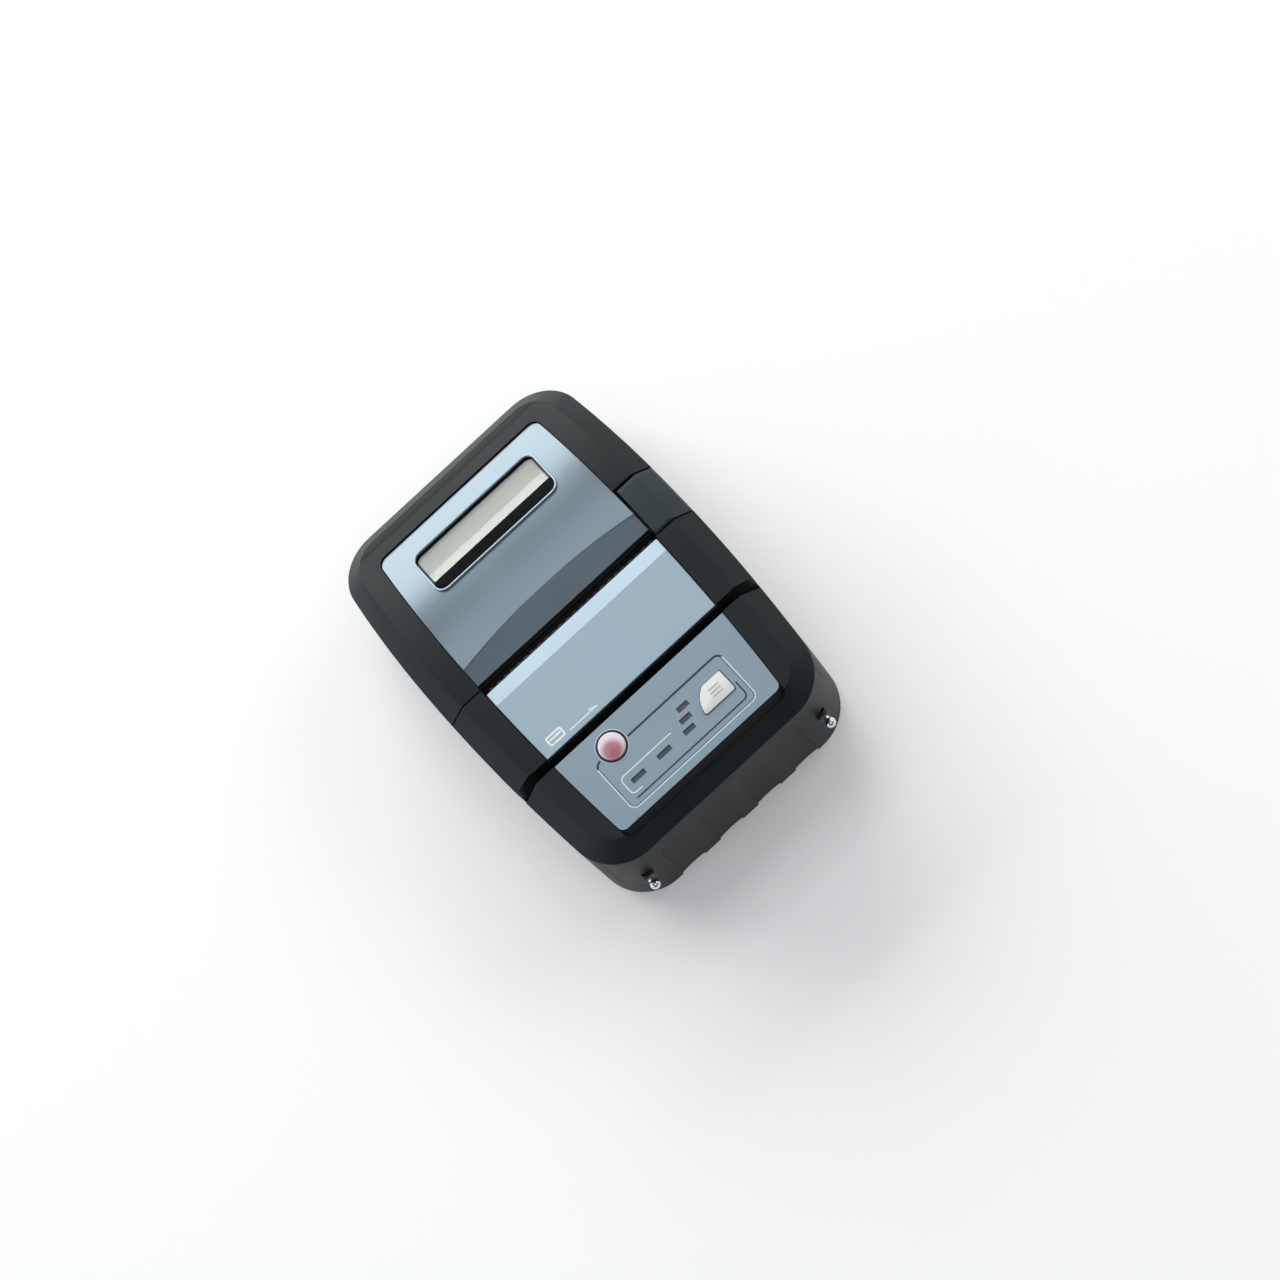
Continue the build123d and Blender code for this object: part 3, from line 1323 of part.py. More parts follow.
NODES = {
    "base_bumper": make_base_bumper,
    "lower_case": make_lower_case,
    "upper_case": make_upper_case,
    "mid_panel": make_mid_panel,
    "control_panel": make_control_panel,
    "indicator_windows": make_lamp_windows,
    "card_track": make_card_track,
    "reading_head": make_reading_head,
    "tear_bar": make_tear_bar,
    "strap_studs": make_studs,
    "hinge_pin": make_hinge_pin,
    "cover_bumper": make_cover_bumper,
    "cover_shell": make_cover_shell,
    "cover_panel": make_cover_panel,
    "window_lens": make_window_lens,
    "platen_bracket": make_platen_bracket,
    "platen_bushings": make_bushings,
    "platen_roller": make_platen_roller,
    "platen_shaft": make_platen_shaft,
    "platen_gear": make_platen_gear,
    "idler_gear": make_idler_gear,
    "motor_pinion": make_pinion,
    "motor": make_motor,
    "print_chassis": make_chassis,
    "print_head": make_print_head,
    "heat_sink": make_heat_sink,
    "open_button": make_open_button,
    "latch_lever": make_latch_lever,
    "paper_cradle": make_cradle,
    "paper_guide": make_paper_guide,
    "paper_roll": make_paper_roll,
    "roll_core": make_roll_core,
    "battery_pack": make_battery,
    "battery_latch": make_battery_latch,
    "battery_contacts": make_battery_contacts,
    "power_button": make_power_button,
    "feed_button": make_feed_button,
    "switch_board": make_switch_board,
    "push_switches": make_switches,
    "indicator_chips": make_indicator_chips,
    "main_board": make_main_board,
    "board_parts": make_board_parts,
}


def save(name, shape):
    """Write one sub-part; a list becomes a group of separate solids."""
    if isinstance(shape, list):
        shape = Compound(children=[solid for item in shape for solid in item.solids()])
    export_step(shape, f"parts/{name}.step")


def main():
    os.makedirs("parts", exist_ok=True)
    for name, make in NODES.items():
        save(name, make())


main()
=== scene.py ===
# Looks of a portable receipt printer: rubber shells, satin panels, window, controls, strap studs,
# print works, paper and battery. Metres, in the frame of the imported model.

import json
import math

import bmesh
import bpy
from mathutils import Matrix, Vector


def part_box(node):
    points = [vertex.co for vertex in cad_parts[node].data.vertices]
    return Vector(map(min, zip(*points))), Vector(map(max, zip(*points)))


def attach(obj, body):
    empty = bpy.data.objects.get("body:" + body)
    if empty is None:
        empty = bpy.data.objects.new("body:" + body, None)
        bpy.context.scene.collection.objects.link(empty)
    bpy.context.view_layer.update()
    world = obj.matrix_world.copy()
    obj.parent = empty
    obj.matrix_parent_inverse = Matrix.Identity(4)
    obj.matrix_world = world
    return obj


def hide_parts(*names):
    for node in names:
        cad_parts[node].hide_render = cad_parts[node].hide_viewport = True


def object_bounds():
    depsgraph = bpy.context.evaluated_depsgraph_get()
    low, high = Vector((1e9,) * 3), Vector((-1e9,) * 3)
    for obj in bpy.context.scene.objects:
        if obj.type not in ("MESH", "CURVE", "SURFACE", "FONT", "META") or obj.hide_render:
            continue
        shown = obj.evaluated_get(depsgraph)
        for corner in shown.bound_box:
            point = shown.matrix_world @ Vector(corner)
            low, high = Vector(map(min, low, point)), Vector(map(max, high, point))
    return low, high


bl_info = {
    "name": "Receipt printer looks",
    "version": (1, 0, 0),
    "blender": (4, 5, 0),
    "location": "View3D > Sidebar > Printer",
    "description": "Visible pieces and finishes of a portable receipt printer",
    "category": "Object",
}

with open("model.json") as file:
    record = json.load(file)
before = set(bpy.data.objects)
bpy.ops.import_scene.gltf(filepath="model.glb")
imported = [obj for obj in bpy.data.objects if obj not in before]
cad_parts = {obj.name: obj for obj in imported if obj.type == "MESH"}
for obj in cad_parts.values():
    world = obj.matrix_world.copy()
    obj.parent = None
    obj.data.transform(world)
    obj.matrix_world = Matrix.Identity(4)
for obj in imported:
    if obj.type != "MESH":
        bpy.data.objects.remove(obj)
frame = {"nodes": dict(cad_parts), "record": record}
NODES = frame["nodes"]
CAD_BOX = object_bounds()
MM = 0.001


# Selection and shaping


def deselect():
    bpy.ops.object.select_all(action="DESELECT")


def only(piece):
    """Select one piece and make it the active one."""
    deselect()
    piece.select_set(True)
    bpy.context.view_layer.objects.active = piece


def pick(piece, kind, test):
    """In edit mode, select the corners, edges or faces that pass a test."""
    only(piece)
    bpy.ops.object.mode_set(mode="EDIT")
    bpy.ops.mesh.select_mode(type=kind)
    bpy.ops.mesh.select_all(action="DESELECT")
    mesh = bmesh.from_edit_mesh(piece.data)
    parts = {"VERT": mesh.verts, "EDGE": mesh.edges, "FACE": mesh.faces}[kind]
    found = 0
    for part in parts:
        if test(part):
            part.select_set(True)
            found += 1
    mesh.select_flush_mode()
    bmesh.update_edit_mesh(piece.data)
    return found


def pick_all(piece):
    """In edit mode, select everything."""
    only(piece)
    bpy.ops.object.mode_set(mode="EDIT")
    bpy.ops.mesh.select_all(action="SELECT")


def leave_edit():
    bpy.ops.object.mode_set(mode="OBJECT")


def close_up():
    """In edit mode, make all faces look outwards, and leave it."""
    bpy.ops.mesh.select_all(action="SELECT")
    bpy.ops.mesh.normals_make_consistent(inside=False)
    leave_edit()


def edge_middle(edge):
    return (edge.verts[0].co + edge.verts[1].co) / 2


def sharp_edge(edge, least):
    """Whether two faces meet on the edge at more than an angle in degrees."""
    return len(edge.link_faces) == 2 and edge.calc_face_angle(0) > math.radians(least)


def smooth(piece, angle=32):
    """Smooth shading up to an angle in degrees."""
    only(piece)
    bpy.ops.object.shade_smooth_by_angle(angle=math.radians(angle))


def place(piece, turn=None, at=(0, 0, 0)):
    """Turn and move a piece, and put its place in its mesh."""
    only(piece)
    piece.matrix_world = Matrix.Translation(Vector(at)) @ (turn or Matrix.Identity(4))
    bpy.ops.object.transform_apply(location=True, rotation=True, scale=True)


def finish_piece(piece, name, body, finish, stands_for=()):
    """Name a piece and give it its body, finish, material slot and the nodes it stands for."""
    piece.name = name
    piece.data.name = name
    piece.data.materials.clear()
    piece.data.materials.append(FINISHES[finish])
    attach(piece, body)
    if stands_for:
        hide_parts(*stands_for)


def node_copy(node):
    """Copy of a CAD node with its corners merged and its flat faces joined."""
    piece = bpy.data.objects.new(node + "_copy", NODES[node].data.copy())
    bpy.context.collection.objects.link(piece)
    only(piece)
    bpy.ops.mesh.customdata_custom_splitnormals_clear()
    pick_all(piece)
    bpy.ops.mesh.remove_doubles(threshold=0.002 * MM)
    bpy.ops.mesh.mark_sharp(clear=True)
    bpy.ops.mesh.dissolve_limited(angle_limit=math.radians(0.4))
    leave_edit()
    return piece


def round_edges(piece, test, width, steps, least=20):
    """Bevel the sharp edges that pass a test."""
    if pick(piece, "EDGE", lambda e: sharp_edge(e, least) and test(edge_middle(e))):
        bpy.ops.mesh.bevel(
            offset=width, segments=steps, affect="EDGES", clamp_overlap=True, miter_outer="ARC"
        )
    leave_edit()


def round_corners(piece, low, high, width):
    """Bevel the upright corner edges inside a box."""

    def corner(edge):
        span = edge.verts[0].co - edge.verts[1].co
        middle = edge_middle(edge)
        inside = all(low[i] < middle[i] < high[i] for i in range(3))
        return inside and abs(span.z) > 0.99 * span.length and sharp_edge(edge, 40)

    if pick(piece, "EDGE", corner):
        bpy.ops.mesh.bevel(offset=width, segments=5, affect="EDGES", clamp_overlap=True)
    leave_edit()


def turned(stations, sides=40):
    """Round piece drawn out of a disc along +Z; stations are pairs of height and radius."""
    deselect()
    height, radius = stations[0]
    bpy.ops.mesh.primitive_circle_add(
        vertices=sides, radius=radius, fill_type="NGON", location=(0, 0, height)
    )
    piece = bpy.context.object
    bpy.ops.object.transform_apply(location=True, rotation=True, scale=True)
    pick_all(piece)
    for nearer, farther in zip(stations, stations[1:]):
        bpy.ops.mesh.extrude_region_move(
            TRANSFORM_OT_translate={"value": (0, 0, farther[0] - nearer[0])}
        )
        share = farther[1] / nearer[1]
        bpy.ops.transform.resize(value=(share, share, 1))
    close_up()
    return piece


def flat_sheet(width, length, corner, steps=5):
    """Flat rectangle with round corners, facing +Z."""
    deselect()
    bpy.ops.mesh.primitive_plane_add(size=1, location=(0, 0, 0))
    piece = bpy.context.object
    pick_all(piece)
    bpy.ops.transform.resize(value=(width, length, 1))
    if corner:
        bpy.ops.mesh.bevel(offset=corner, segments=steps, affect="VERTICES")
    leave_edit()
    return piece


def frame_ring(width, length, corner, band, height, cuts=(), drop=None):
    """Raised ring between two round-cornered rectangles.

    Cuts are pairs of a point and a normal that divide it, and drop tells which parts go.
    """
    piece = flat_sheet(width, length, corner)
    pick_all(piece)
    bpy.ops.mesh.inset(thickness=band)
    bpy.ops.mesh.delete(type="FACE")
    for point, normal in cuts:
        bpy.ops.mesh.select_all(action="SELECT")
        bpy.ops.mesh.bisect(plane_co=point, plane_no=normal)
    leave_edit()
    if drop:
        pick(piece, "FACE", lambda f: drop(f.calc_center_median()))
        bpy.ops.mesh.delete(type="FACE")
        leave_edit()
    return raised_sheet(piece, height)


def raised_sheet(piece, height):
    """Give a flat sheet a thickness upwards."""
    pick_all(piece)
    bpy.ops.mesh.extrude_region_move(TRANSFORM_OT_translate={"value": (0, 0, height)})
    close_up()
    return piece


def joined(pieces):
    """Join several pieces into the first one."""
    deselect()
    for piece in pieces:
        piece.select_set(True)
    bpy.context.view_layer.objects.active = pieces[0]
    bpy.ops.object.join()
    return pieces[0]


# Shader node groups


def new_group(name, inputs, outputs):
    """Node group with named sockets; inputs are (name, kind, value) and outputs (name, kind)."""
    group = bpy.data.node_groups.new(name, "ShaderNodeTree")
    for label, kind, value in inputs:
        socket = group.interface.new_socket(name=label, in_out="INPUT", socket_type=kind)
        socket.default_value = value
    for label, kind in outputs:
        group.interface.new_socket(name=label, in_out="OUTPUT", socket_type=kind)
    start = group.nodes.new("NodeGroupInput")
    end = group.nodes.new("NodeGroupOutput")
    return group, start, end


def group_noise(group, start, detail, rough):
    """Noise on Object coordinates inside a group, at the group's own scale."""
    where = group.nodes.new("ShaderNodeTexCoord")
    noise = group.nodes.new("ShaderNodeTexNoise")
    noise.inputs["Detail"].default_value = detail
    noise.inputs["Roughness"].default_value = rough
    group.links.new(where.outputs["Object"], noise.inputs["Vector"])
    group.links.new(start.outputs["Scale"], noise.inputs["Scale"])
    return noise


def make_grain_group():
    """Fine moulded grain as a height."""
    group, start, end = new_group(
        "moulded_grain", [("Scale", "NodeSocketFloat", 2500.0)], [("Height", "NodeSocketFloat")]
    )
    noise = group_noise(group, start, 3.0, 0.55)
    group.links.new(noise.outputs["Fac"], end.inputs["Height"])
    return group


def make_tone_group():
    """Slow drift of a colour's lightness over the surface, and of its roughness."""
    group, start, end = new_group(
        "tone_drift",
        [
            ("Colour", "NodeSocketColor", (0.5, 0.5, 0.5, 1)),
            ("Lighter", "NodeSocketColor", (0.6, 0.6, 0.6, 1)),
            ("Scale", "NodeSocketFloat", 60.0),
            ("Roughness", "NodeSocketFloat", 0.5),
            ("Roughness drift", "NodeSocketFloat", 0.08),
        ],
        [("Colour", "NodeSocketColor"), ("Roughness", "NodeSocketFloat")],
    )
    links = group.links
    noise = group_noise(group, start, 5.0, 0.6)
    spread = group.nodes.new("ShaderNodeMapRange")
    spread.inputs["From Min"].default_value = 0.3
    spread.inputs["From Max"].default_value = 0.7
    links.new(noise.outputs["Fac"], spread.inputs["Value"])
    mix = group.nodes.new("ShaderNodeMix")
    mix.data_type = "RGBA"
    links.new(spread.outputs["Result"], mix.inputs["Factor"])
    links.new(start.outputs["Colour"], mix.inputs["A"])
    links.new(start.outputs["Lighter"], mix.inputs["B"])
    links.new(mix.outputs["Result"], end.inputs["Colour"])
    rough = group.nodes.new("ShaderNodeMath")
    rough.operation = "MULTIPLY_ADD"
    links.new(spread.outputs["Result"], rough.inputs[0])
    links.new(start.outputs["Roughness drift"], rough.inputs[1])
    links.new(start.outputs["Roughness"], rough.inputs[2])
    links.new(rough.outputs[0], end.inputs["Roughness"])
    return group


def make_brush_group():
    """Long fine brushed lines along one axis, as a height."""
    group, start, end = new_group(
        "brushed_lines",
        [("Stretch", "NodeSocketVector", (20.0, 2600.0, 2600.0))],
        [("Height", "NodeSocketFloat")],
    )
    where = group.nodes.new("ShaderNodeTexCoord")
    stretch = group.nodes.new("ShaderNodeVectorMath")
    stretch.operation = "MULTIPLY"
    group.links.new(where.outputs["Object"], stretch.inputs[0])
    group.links.new(start.outputs["Stretch"], stretch.inputs[1])
    noise = group.nodes.new("ShaderNodeTexNoise")
    noise.inputs["Scale"].default_value = 1.0
    noise.inputs["Detail"].default_value = 2.0
    group.links.new(stretch.outputs["Vector"], noise.inputs["Vector"])
    group.links.new(noise.outputs["Fac"], end.inputs["Height"])
    return group


def shared_group(name):
    """The shared node group of a name, built the first time it is asked for."""
    makers = {
        "moulded_grain": make_grain_group,
        "tone_drift": make_tone_group,
        "brushed_lines": make_brush_group,
    }
    return bpy.data.node_groups.get(name) or makers[name]()


def add_group(material, name, values):
    """Place a shared group in a material with its own values."""
    node = material.node_tree.nodes.new("ShaderNodeGroup")
    node.node_tree = shared_group(name)
    for label, value in values.items():
        node.inputs[label].default_value = value
    return node


# Finishes


def shader_of(material):
    """The Principled shader of a material."""
    return material.node_tree.nodes["Principled BSDF"]


def plain_finish(name, colour, roughness, metallic=0.0):
    """Material with a Principled shader, and the shader."""
    material = bpy.data.materials.new(name)
    material.use_nodes = True
    shader = shader_of(material)
    shader.inputs["Base Color"].default_value = (*colour, 1)
    shader.inputs["Roughness"].default_value = roughness
    shader.inputs["Metallic"].default_value = metallic
    return material, shader


def toned(material, shader, colour, lighter, scale, roughness, drift=0.08):
    """Feed the colour and roughness from the slow tone drift."""
    values = {
        "Colour": (*colour, 1),
        "Lighter": (*lighter, 1),
        "Scale": scale,
        "Roughness": roughness,
        "Roughness drift": drift,
    }
    node = add_group(material, "tone_drift", values)
    links = material.node_tree.links
    links.new(node.outputs["Colour"], shader.inputs["Base Color"])
    links.new(node.outputs["Roughness"], shader.inputs["Roughness"])


def bumped(material, shader, height_node, strength, distance):
    """Feed a height into the shader's normal."""
    bump = material.node_tree.nodes.new("ShaderNodeBump")
    bump.inputs["Strength"].default_value = strength
    bump.inputs["Distance"].default_value = distance
    links = material.node_tree.links
    links.new(height_node.outputs["Height"], bump.inputs["Height"])
    links.new(bump.outputs["Normal"], shader.inputs["Normal"])


def moulded_finish(name, colour, lighter, roughness, grain_scale, grain_strength, tone_scale=70.0):
    """Moulded plastic or rubber with a fine grain."""
    material, shader = plain_finish(name, colour, roughness)
    toned(material, shader, colour, lighter, tone_scale, roughness)
    grain = add_group(material, "moulded_grain", {"Scale": grain_scale})
    bumped(material, shader, grain, grain_strength, 0.02 * MM)
    return material


def metal_finish(name, colour, lighter, roughness, stretch, strength=0.25):
    """Bare metal with fine brushed lines."""
    material, shader = plain_finish(name, colour, roughness, 1.0)
    toned(material, shader, colour, lighter, 90.0, roughness)
    lines = add_group(material, "brushed_lines", {"Stretch": stretch})
    bumped(material, shader, lines, strength, 0.01 * MM)
    return material


def rubber_finish(looks, name="soft_rubber", share=1.0):
    """Soft matt rubber, lighter or darker by a share."""
    colour = [share * value for value in looks.rubber_colour]
    lighter = [share * value for value in looks.rubber_light]
    material = moulded_finish(name, colour, lighter, looks.rubber_roughness, 3200.0, 0.35)
    shader_of(material).inputs["Specular IOR Level"].default_value = looks.rubber_shine
    return material


def panel_finish(looks, name="panel_paint", share=1.0):
    """Satin metallic paint with fine flakes, lighter or darker by a share."""
    colour = [share * value for value in looks.panel_colour]
    lighter = [share * value for value in looks.panel_light]
    material, shader = plain_finish(name, colour, looks.panel_roughness, looks.panel_metallic)
    toned(material, shader, colour, lighter, 25.0, looks.panel_roughness, 0.05)
    flakes = add_group(material, "moulded_grain", {"Scale": 6500.0})
    bumped(material, shader, flakes, 0.08, 0.01 * MM)
    shader.inputs["Coat Weight"].default_value = 0.25
    shader.inputs["Coat Roughness"].default_value = 0.25
    return material


def case_finish():
    return moulded_finish("case_plastic", (0.03, 0.032, 0.034), (0.04, 0.042, 0.045), 0.5, 3000.0, 0.4)


def black_finish():
    return moulded_finish("black_plastic", (0.012, 0.012, 0.013), (0.018, 0.018, 0.02), 0.42, 2600.0, 0.3)


def gloss_black_finish():
    """Glossy black sheet on the back of a lens, a painted shade."""
    material, shader = plain_finish("gloss_black", (0.003, 0.003, 0.004), 0.05)
    toned(material, shader, (0.003, 0.003, 0.004), (0.005, 0.005, 0.006), 90.0, 0.05, 0.03)
    shader.inputs["Specular IOR Level"].default_value = 0.2
    return material


def lens_finish():
    """Glossy window plastic with a faint tint and a few duller places."""
    colour = (0.52, 0.57, 0.52)
    material, shader = plain_finish("tinted_lens", colour, 0.03)
    toned(material, shader, colour, (0.56, 0.61, 0.56), 60.0, 0.02, 0.03)
    shader.inputs["Transmission Weight"].default_value = 1.0
    shader.inputs["IOR"].default_value = 1.65
    return material


def lamp_finish():
    """Smoked indicator plastic."""
    return moulded_finish("smoked_lamp", (0.04, 0.055, 0.075), (0.055, 0.072, 0.095), 0.42, 1500.0, 0.05)


def power_finish(centre):
    """Frosted cap, red around a point beside its middle and pale elsewhere; the pale part is partly the
    cap's white and partly a painted sheen.
    """
    material, shader = plain_finish("power_cap", (0.5, 0.25, 0.27), 0.25)
    beside, pale_from = (0.5 * MM, 0.95 * MM), 3.5 * MM
    tree = material.node_tree
    where = tree.nodes.new("ShaderNodeTexCoord")
    mapping = tree.nodes.new("ShaderNodeMapping")
    mapping.vector_type = "POINT"
    mapping.inputs["Location"].default_value = (beside[0] - centre[0], beside[1] - centre[1], 0)
    mapping.inputs["Scale"].default_value = (1, 1, 0)
    distance = tree.nodes.new("ShaderNodeVectorMath")
    distance.operation = "LENGTH"
    ramp = tree.nodes.new("ShaderNodeValToRGB")
    ramp.color_ramp.elements[0].position = 0.1
    ramp.color_ramp.elements[0].color = (0.38, 0.11, 0.15, 1)
    # The pale end stands partly for the cap's white and partly for a painted sheen
    ramp.color_ramp.elements[1].position = 0.95
    ramp.color_ramp.elements[1].color = (0.78, 0.69, 0.73, 1)
    middle = ramp.color_ramp.elements.new(0.55)
    middle.color = (0.44, 0.17, 0.22, 1)
    reach = tree.nodes.new("ShaderNodeMath")
    reach.operation = "DIVIDE"
    reach.inputs[1].default_value = pale_from
    tree.links.new(where.outputs["Object"], mapping.inputs["Vector"])
    tree.links.new(mapping.outputs["Vector"], distance.inputs[0])
    tree.links.new(distance.outputs["Value"], reach.inputs[0])
    tree.links.new(reach.outputs[0], ramp.inputs["Fac"])
    tree.links.new(ramp.outputs["Color"], shader.inputs["Base Color"])
    shader.inputs["Coat Weight"].default_value = 0.3
    shader.inputs["Coat Roughness"].default_value = 0.15
    return material


def white_cap_finish():
    material = moulded_finish("white_cap", (0.72, 0.74, 0.72), (0.8, 0.82, 0.8), 0.25, 1800.0, 0.06)
    shader_of(material).inputs["Coat Weight"].default_value = 0.5
    return material


def print_paint_finish():
    return moulded_finish("white_print", (0.8, 0.84, 0.86), (0.86, 0.89, 0.9), 0.45, 2500.0, 0.1)


# Near-black ink of the outline grooves: painted shade
def engraved_finish():
    return moulded_finish("engraved_line", (0.02, 0.028, 0.04), (0.03, 0.04, 0.055), 0.6, 2500.0, 0.1)


def grey_print_finish():
    return moulded_finish("grey_print", (0.36, 0.4, 0.4), (0.42, 0.46, 0.46), 0.5, 2500.0, 0.1)


def paper_finish():
    """Wound thermal paper with a slow tone drift and a fine grain."""
    material, shader = plain_finish("thermal_paper", (0.74, 0.77, 0.72), 0.55)
    toned(material, shader, (0.72, 0.75, 0.70), (0.8, 0.82, 0.77), 40.0, 0.55)
    grain = add_group(material, "moulded_grain", {"Scale": 4200.0})
    bumped(material, shader, grain, 0.1, 0.01 * MM)
    return material


def core_finish():
    return moulded_finish("core_board", (0.32, 0.26, 0.19), (0.38, 0.31, 0.23), 0.8, 1500.0, 0.4)


def platen_finish():
    return moulded_finish("platen_rubber", (0.02, 0.02, 0.021), (0.028, 0.028, 0.03), 0.6, 2000.0, 0.2)


def nylon_finish():
    material = moulded_finish("gear_nylon", (0.72, 0.7, 0.62), (0.8, 0.78, 0.7), 0.38, 1800.0, 0.1)
    shader = shader_of(material)
    shader.inputs["Subsurface Weight"].default_value = 0.1
    shader.inputs["Subsurface Radius"].default_value = (0.001, 0.001, 0.0008)
    return material


def board_finish():
    """Green solder mask over faint tracks."""
    material, shader = plain_finish("solder_mask", (0.012, 0.09, 0.04), 0.3)
    tree = material.node_tree
    where = tree.nodes.new("ShaderNodeTexCoord")
    tracks = tree.nodes.new("ShaderNodeTexBrick")
    tracks.inputs["Scale"].default_value = 300.0
    tracks.inputs["Mortar Size"].default_value = 0.03
    tracks.inputs["Color1"].default_value = (0.010, 0.085, 0.036, 1)
    tracks.inputs["Color2"].default_value = (0.014, 0.11, 0.048, 1)
    tracks.inputs["Mortar"].default_value = (0.03, 0.16, 0.075, 1)
    tree.links.new(where.outputs["Object"], tracks.inputs["Vector"])
    tree.links.new(tracks.outputs["Color"], shader.inputs["Base Color"])
    shader.inputs["Coat Weight"].default_value = 0.4
    return material


def chip_finish():
    return moulded_finish("chip_resin", (0.014, 0.014, 0.016), (0.02, 0.02, 0.022), 0.45, 3000.0, 0.4)


def battery_finish():
    return moulded_finish("battery_shell", (0.03, 0.031, 0.034), (0.04, 0.041, 0.044), 0.48, 2200.0, 0.5)


def ceramic_finish():
    return moulded_finish("head_ceramic", (0.4, 0.3, 0.2), (0.46, 0.36, 0.26), 0.2, 900.0, 0.05)


def steel_finish():
    return metal_finish(
        "brushed_steel", (0.52, 0.53, 0.54), (0.62, 0.63, 0.64), 0.3, (40.0, 2600.0, 2600.0)
    )


def dark_steel_finish():
    return metal_finish(
        "dark_steel", (0.05, 0.052, 0.055), (0.08, 0.083, 0.088), 0.4, (2600.0, 40.0, 2600.0)
    )


def chrome_finish():
    material, shader = plain_finish("polished_stud", (0.78, 0.79, 0.8), 0.09, 1.0)
    toned(material, shader, (0.74, 0.75, 0.76), (0.82, 0.83, 0.84), 300.0, 0.08, 0.06)
    return material


def alloy_finish():
    return metal_finish(
        "head_alloy", (0.58, 0.59, 0.6), (0.66, 0.67, 0.68), 0.36, (2600.0, 60.0, 2600.0)
    )


def zinc_finish():
    return metal_finish(
        "motor_zinc", (0.42, 0.43, 0.45), (0.55, 0.56, 0.57), 0.34, (120.0, 900.0, 900.0), 0.15
    )


def gold_finish():
    return metal_finish(
        "gold_plate", (0.83, 0.6, 0.22), (0.9, 0.68, 0.3), 0.25, (900.0, 900.0, 120.0), 0.1
    )


# Finishes by name, and the nodes that have one of their own
FINISHES = {}
OWN_FINISH = {
    # The cover's panel gets a darker copy of the panel paint: painted shade
    "cover_panel": "cover_grey",
    "control_panel": "control_grey",
    "tear_bar": "dark_steel",
    "open_button": "key_rubber",
}


def make_finishes(looks):
    """All finishes by the record's material slot."""
    FINISHES.update(
        bumper_rubber=rubber_finish(looks),
        key_rubber=rubber_finish(looks, "key_rubber", looks.key_share),
        case_plastic=case_finish(),
        panel_grey=panel_finish(looks),
        # Cover paint: the panel paint darkened, a painted shade
        cover_grey=panel_finish(looks, "cover_paint", looks.cover_share),
        # Rim paint: the panel paint lightened, a painted highlight on rims and the near outline
        rim_grey=panel_finish(looks, "rim_paint", looks.rim_share),
        dark_steel=dark_steel_finish(),
        # Engraved lines: near-black, painted shade
        engraved=engraved_finish(),
        dark_plastic=black_finish(),
        lens_clear=lens_finish(),
        # Black on the lens: painted shade
        gloss_black=gloss_black_finish(),
        control_grey=panel_finish(looks, "control_paint", looks.control_share),
        # Strip paint: the panel paint lightened, a painted highlight
        strip_grey=panel_finish(looks, "strip_paint", looks.strip_share),
        lamp_smoke=lamp_finish(),
        button_white=white_cap_finish(),
        steel=steel_finish(),
        stud_chrome=chrome_finish(),
        platen_rubber=platen_finish(),
        gear_nylon=nylon_finish(),
        head_alloy=alloy_finish(),
        head_ceramic=ceramic_finish(),
        motor_can=zinc_finish(),
        paper=paper_finish(),
        core_board=core_finish(),
        battery_case=battery_finish(),
        contact_gold=gold_finish(),
        board_green=board_finish(),
        chip_black=chip_finish(),
        white_print=print_paint_finish(),
        grey_print=grey_print_finish(),
    )
    low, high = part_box("power_button")
    FINISHES["button_red"] = power_finish((low + high) / 2)


def node_slot(node):
    """The record's material slot of a CAD node."""
    for part in frame["record"]["subparts"]:
        if part["node"] == node:
            return part["material_slot"]
    raise ValueError(node)


# Settings


class PrinterLooks(bpy.types.PropertyGroup):
    rubber_colour: bpy.props.FloatVectorProperty(
        name="Rubber", description="Base colour of the rubber shells", subtype="COLOR",
        size=3, min=0, max=1, default=(0.0085, 0.0122, 0.0138),
    )
    rubber_light: bpy.props.FloatVectorProperty(
        name="Rubber, lighter", description="Lighter places of the rubber", subtype="COLOR",
        size=3, min=0, max=1, default=(0.012, 0.0165, 0.0182),
    )
    rubber_roughness: bpy.props.FloatProperty(
        name="Rubber roughness", description="Roughness of the rubber", min=0, max=1, default=0.44,
    )
    rubber_shine: bpy.props.FloatProperty(
        name="Rubber shine", description="Specular level of the rubber", min=0, max=1, default=0.19,
    )
    key_share: bpy.props.FloatProperty(
        name="Open button tone", description="Tone of the open button beside the shells",
        min=0, default=3.0,
    )
    panel_colour: bpy.props.FloatVectorProperty(
        name="Panels", description="Base colour of the grey panels", subtype="COLOR",
        size=3, min=0, max=1, default=(0.24, 0.312, 0.366),
    )
    panel_light: bpy.props.FloatVectorProperty(
        name="Panels, lighter", description="Lighter places of the panels", subtype="COLOR",
        size=3, min=0, max=1, default=(0.258, 0.332, 0.388),
    )
    panel_roughness: bpy.props.FloatProperty(
        name="Panel roughness", description="Roughness of the panels", min=0, max=1, default=0.27,
    )
    panel_metallic: bpy.props.FloatProperty(
        name="Panel metallic", description="Share of metal flake in the paint",
        min=0, max=1, default=0.7,
    )
    # Painted shade: the cover's panel is darkened beside the other panels
    cover_share: bpy.props.FloatProperty(
        name="Cover tone", description="Tone of the cover's panel beside the other panels",
        min=0, max=1, default=0.62,
    )
    control_share: bpy.props.FloatProperty(
        name="Control tone", description="Tone of the control panel beside the middle panel",
        min=0, max=1, default=0.76,
    )
    # Painted highlight: the middle panel's bevelled strip is lightened
    strip_share: bpy.props.FloatProperty(
        name="Strip tone", description="Tone of the bevelled strip beside the middle panel",
        min=0, default=1.42,
    )
    # Painted highlight: the rims beside the panels are lightened
    rim_share: bpy.props.FloatProperty(
        name="Rim tone", description="Tone of the pale rims beside the panels", min=0, default=1.6,
    )


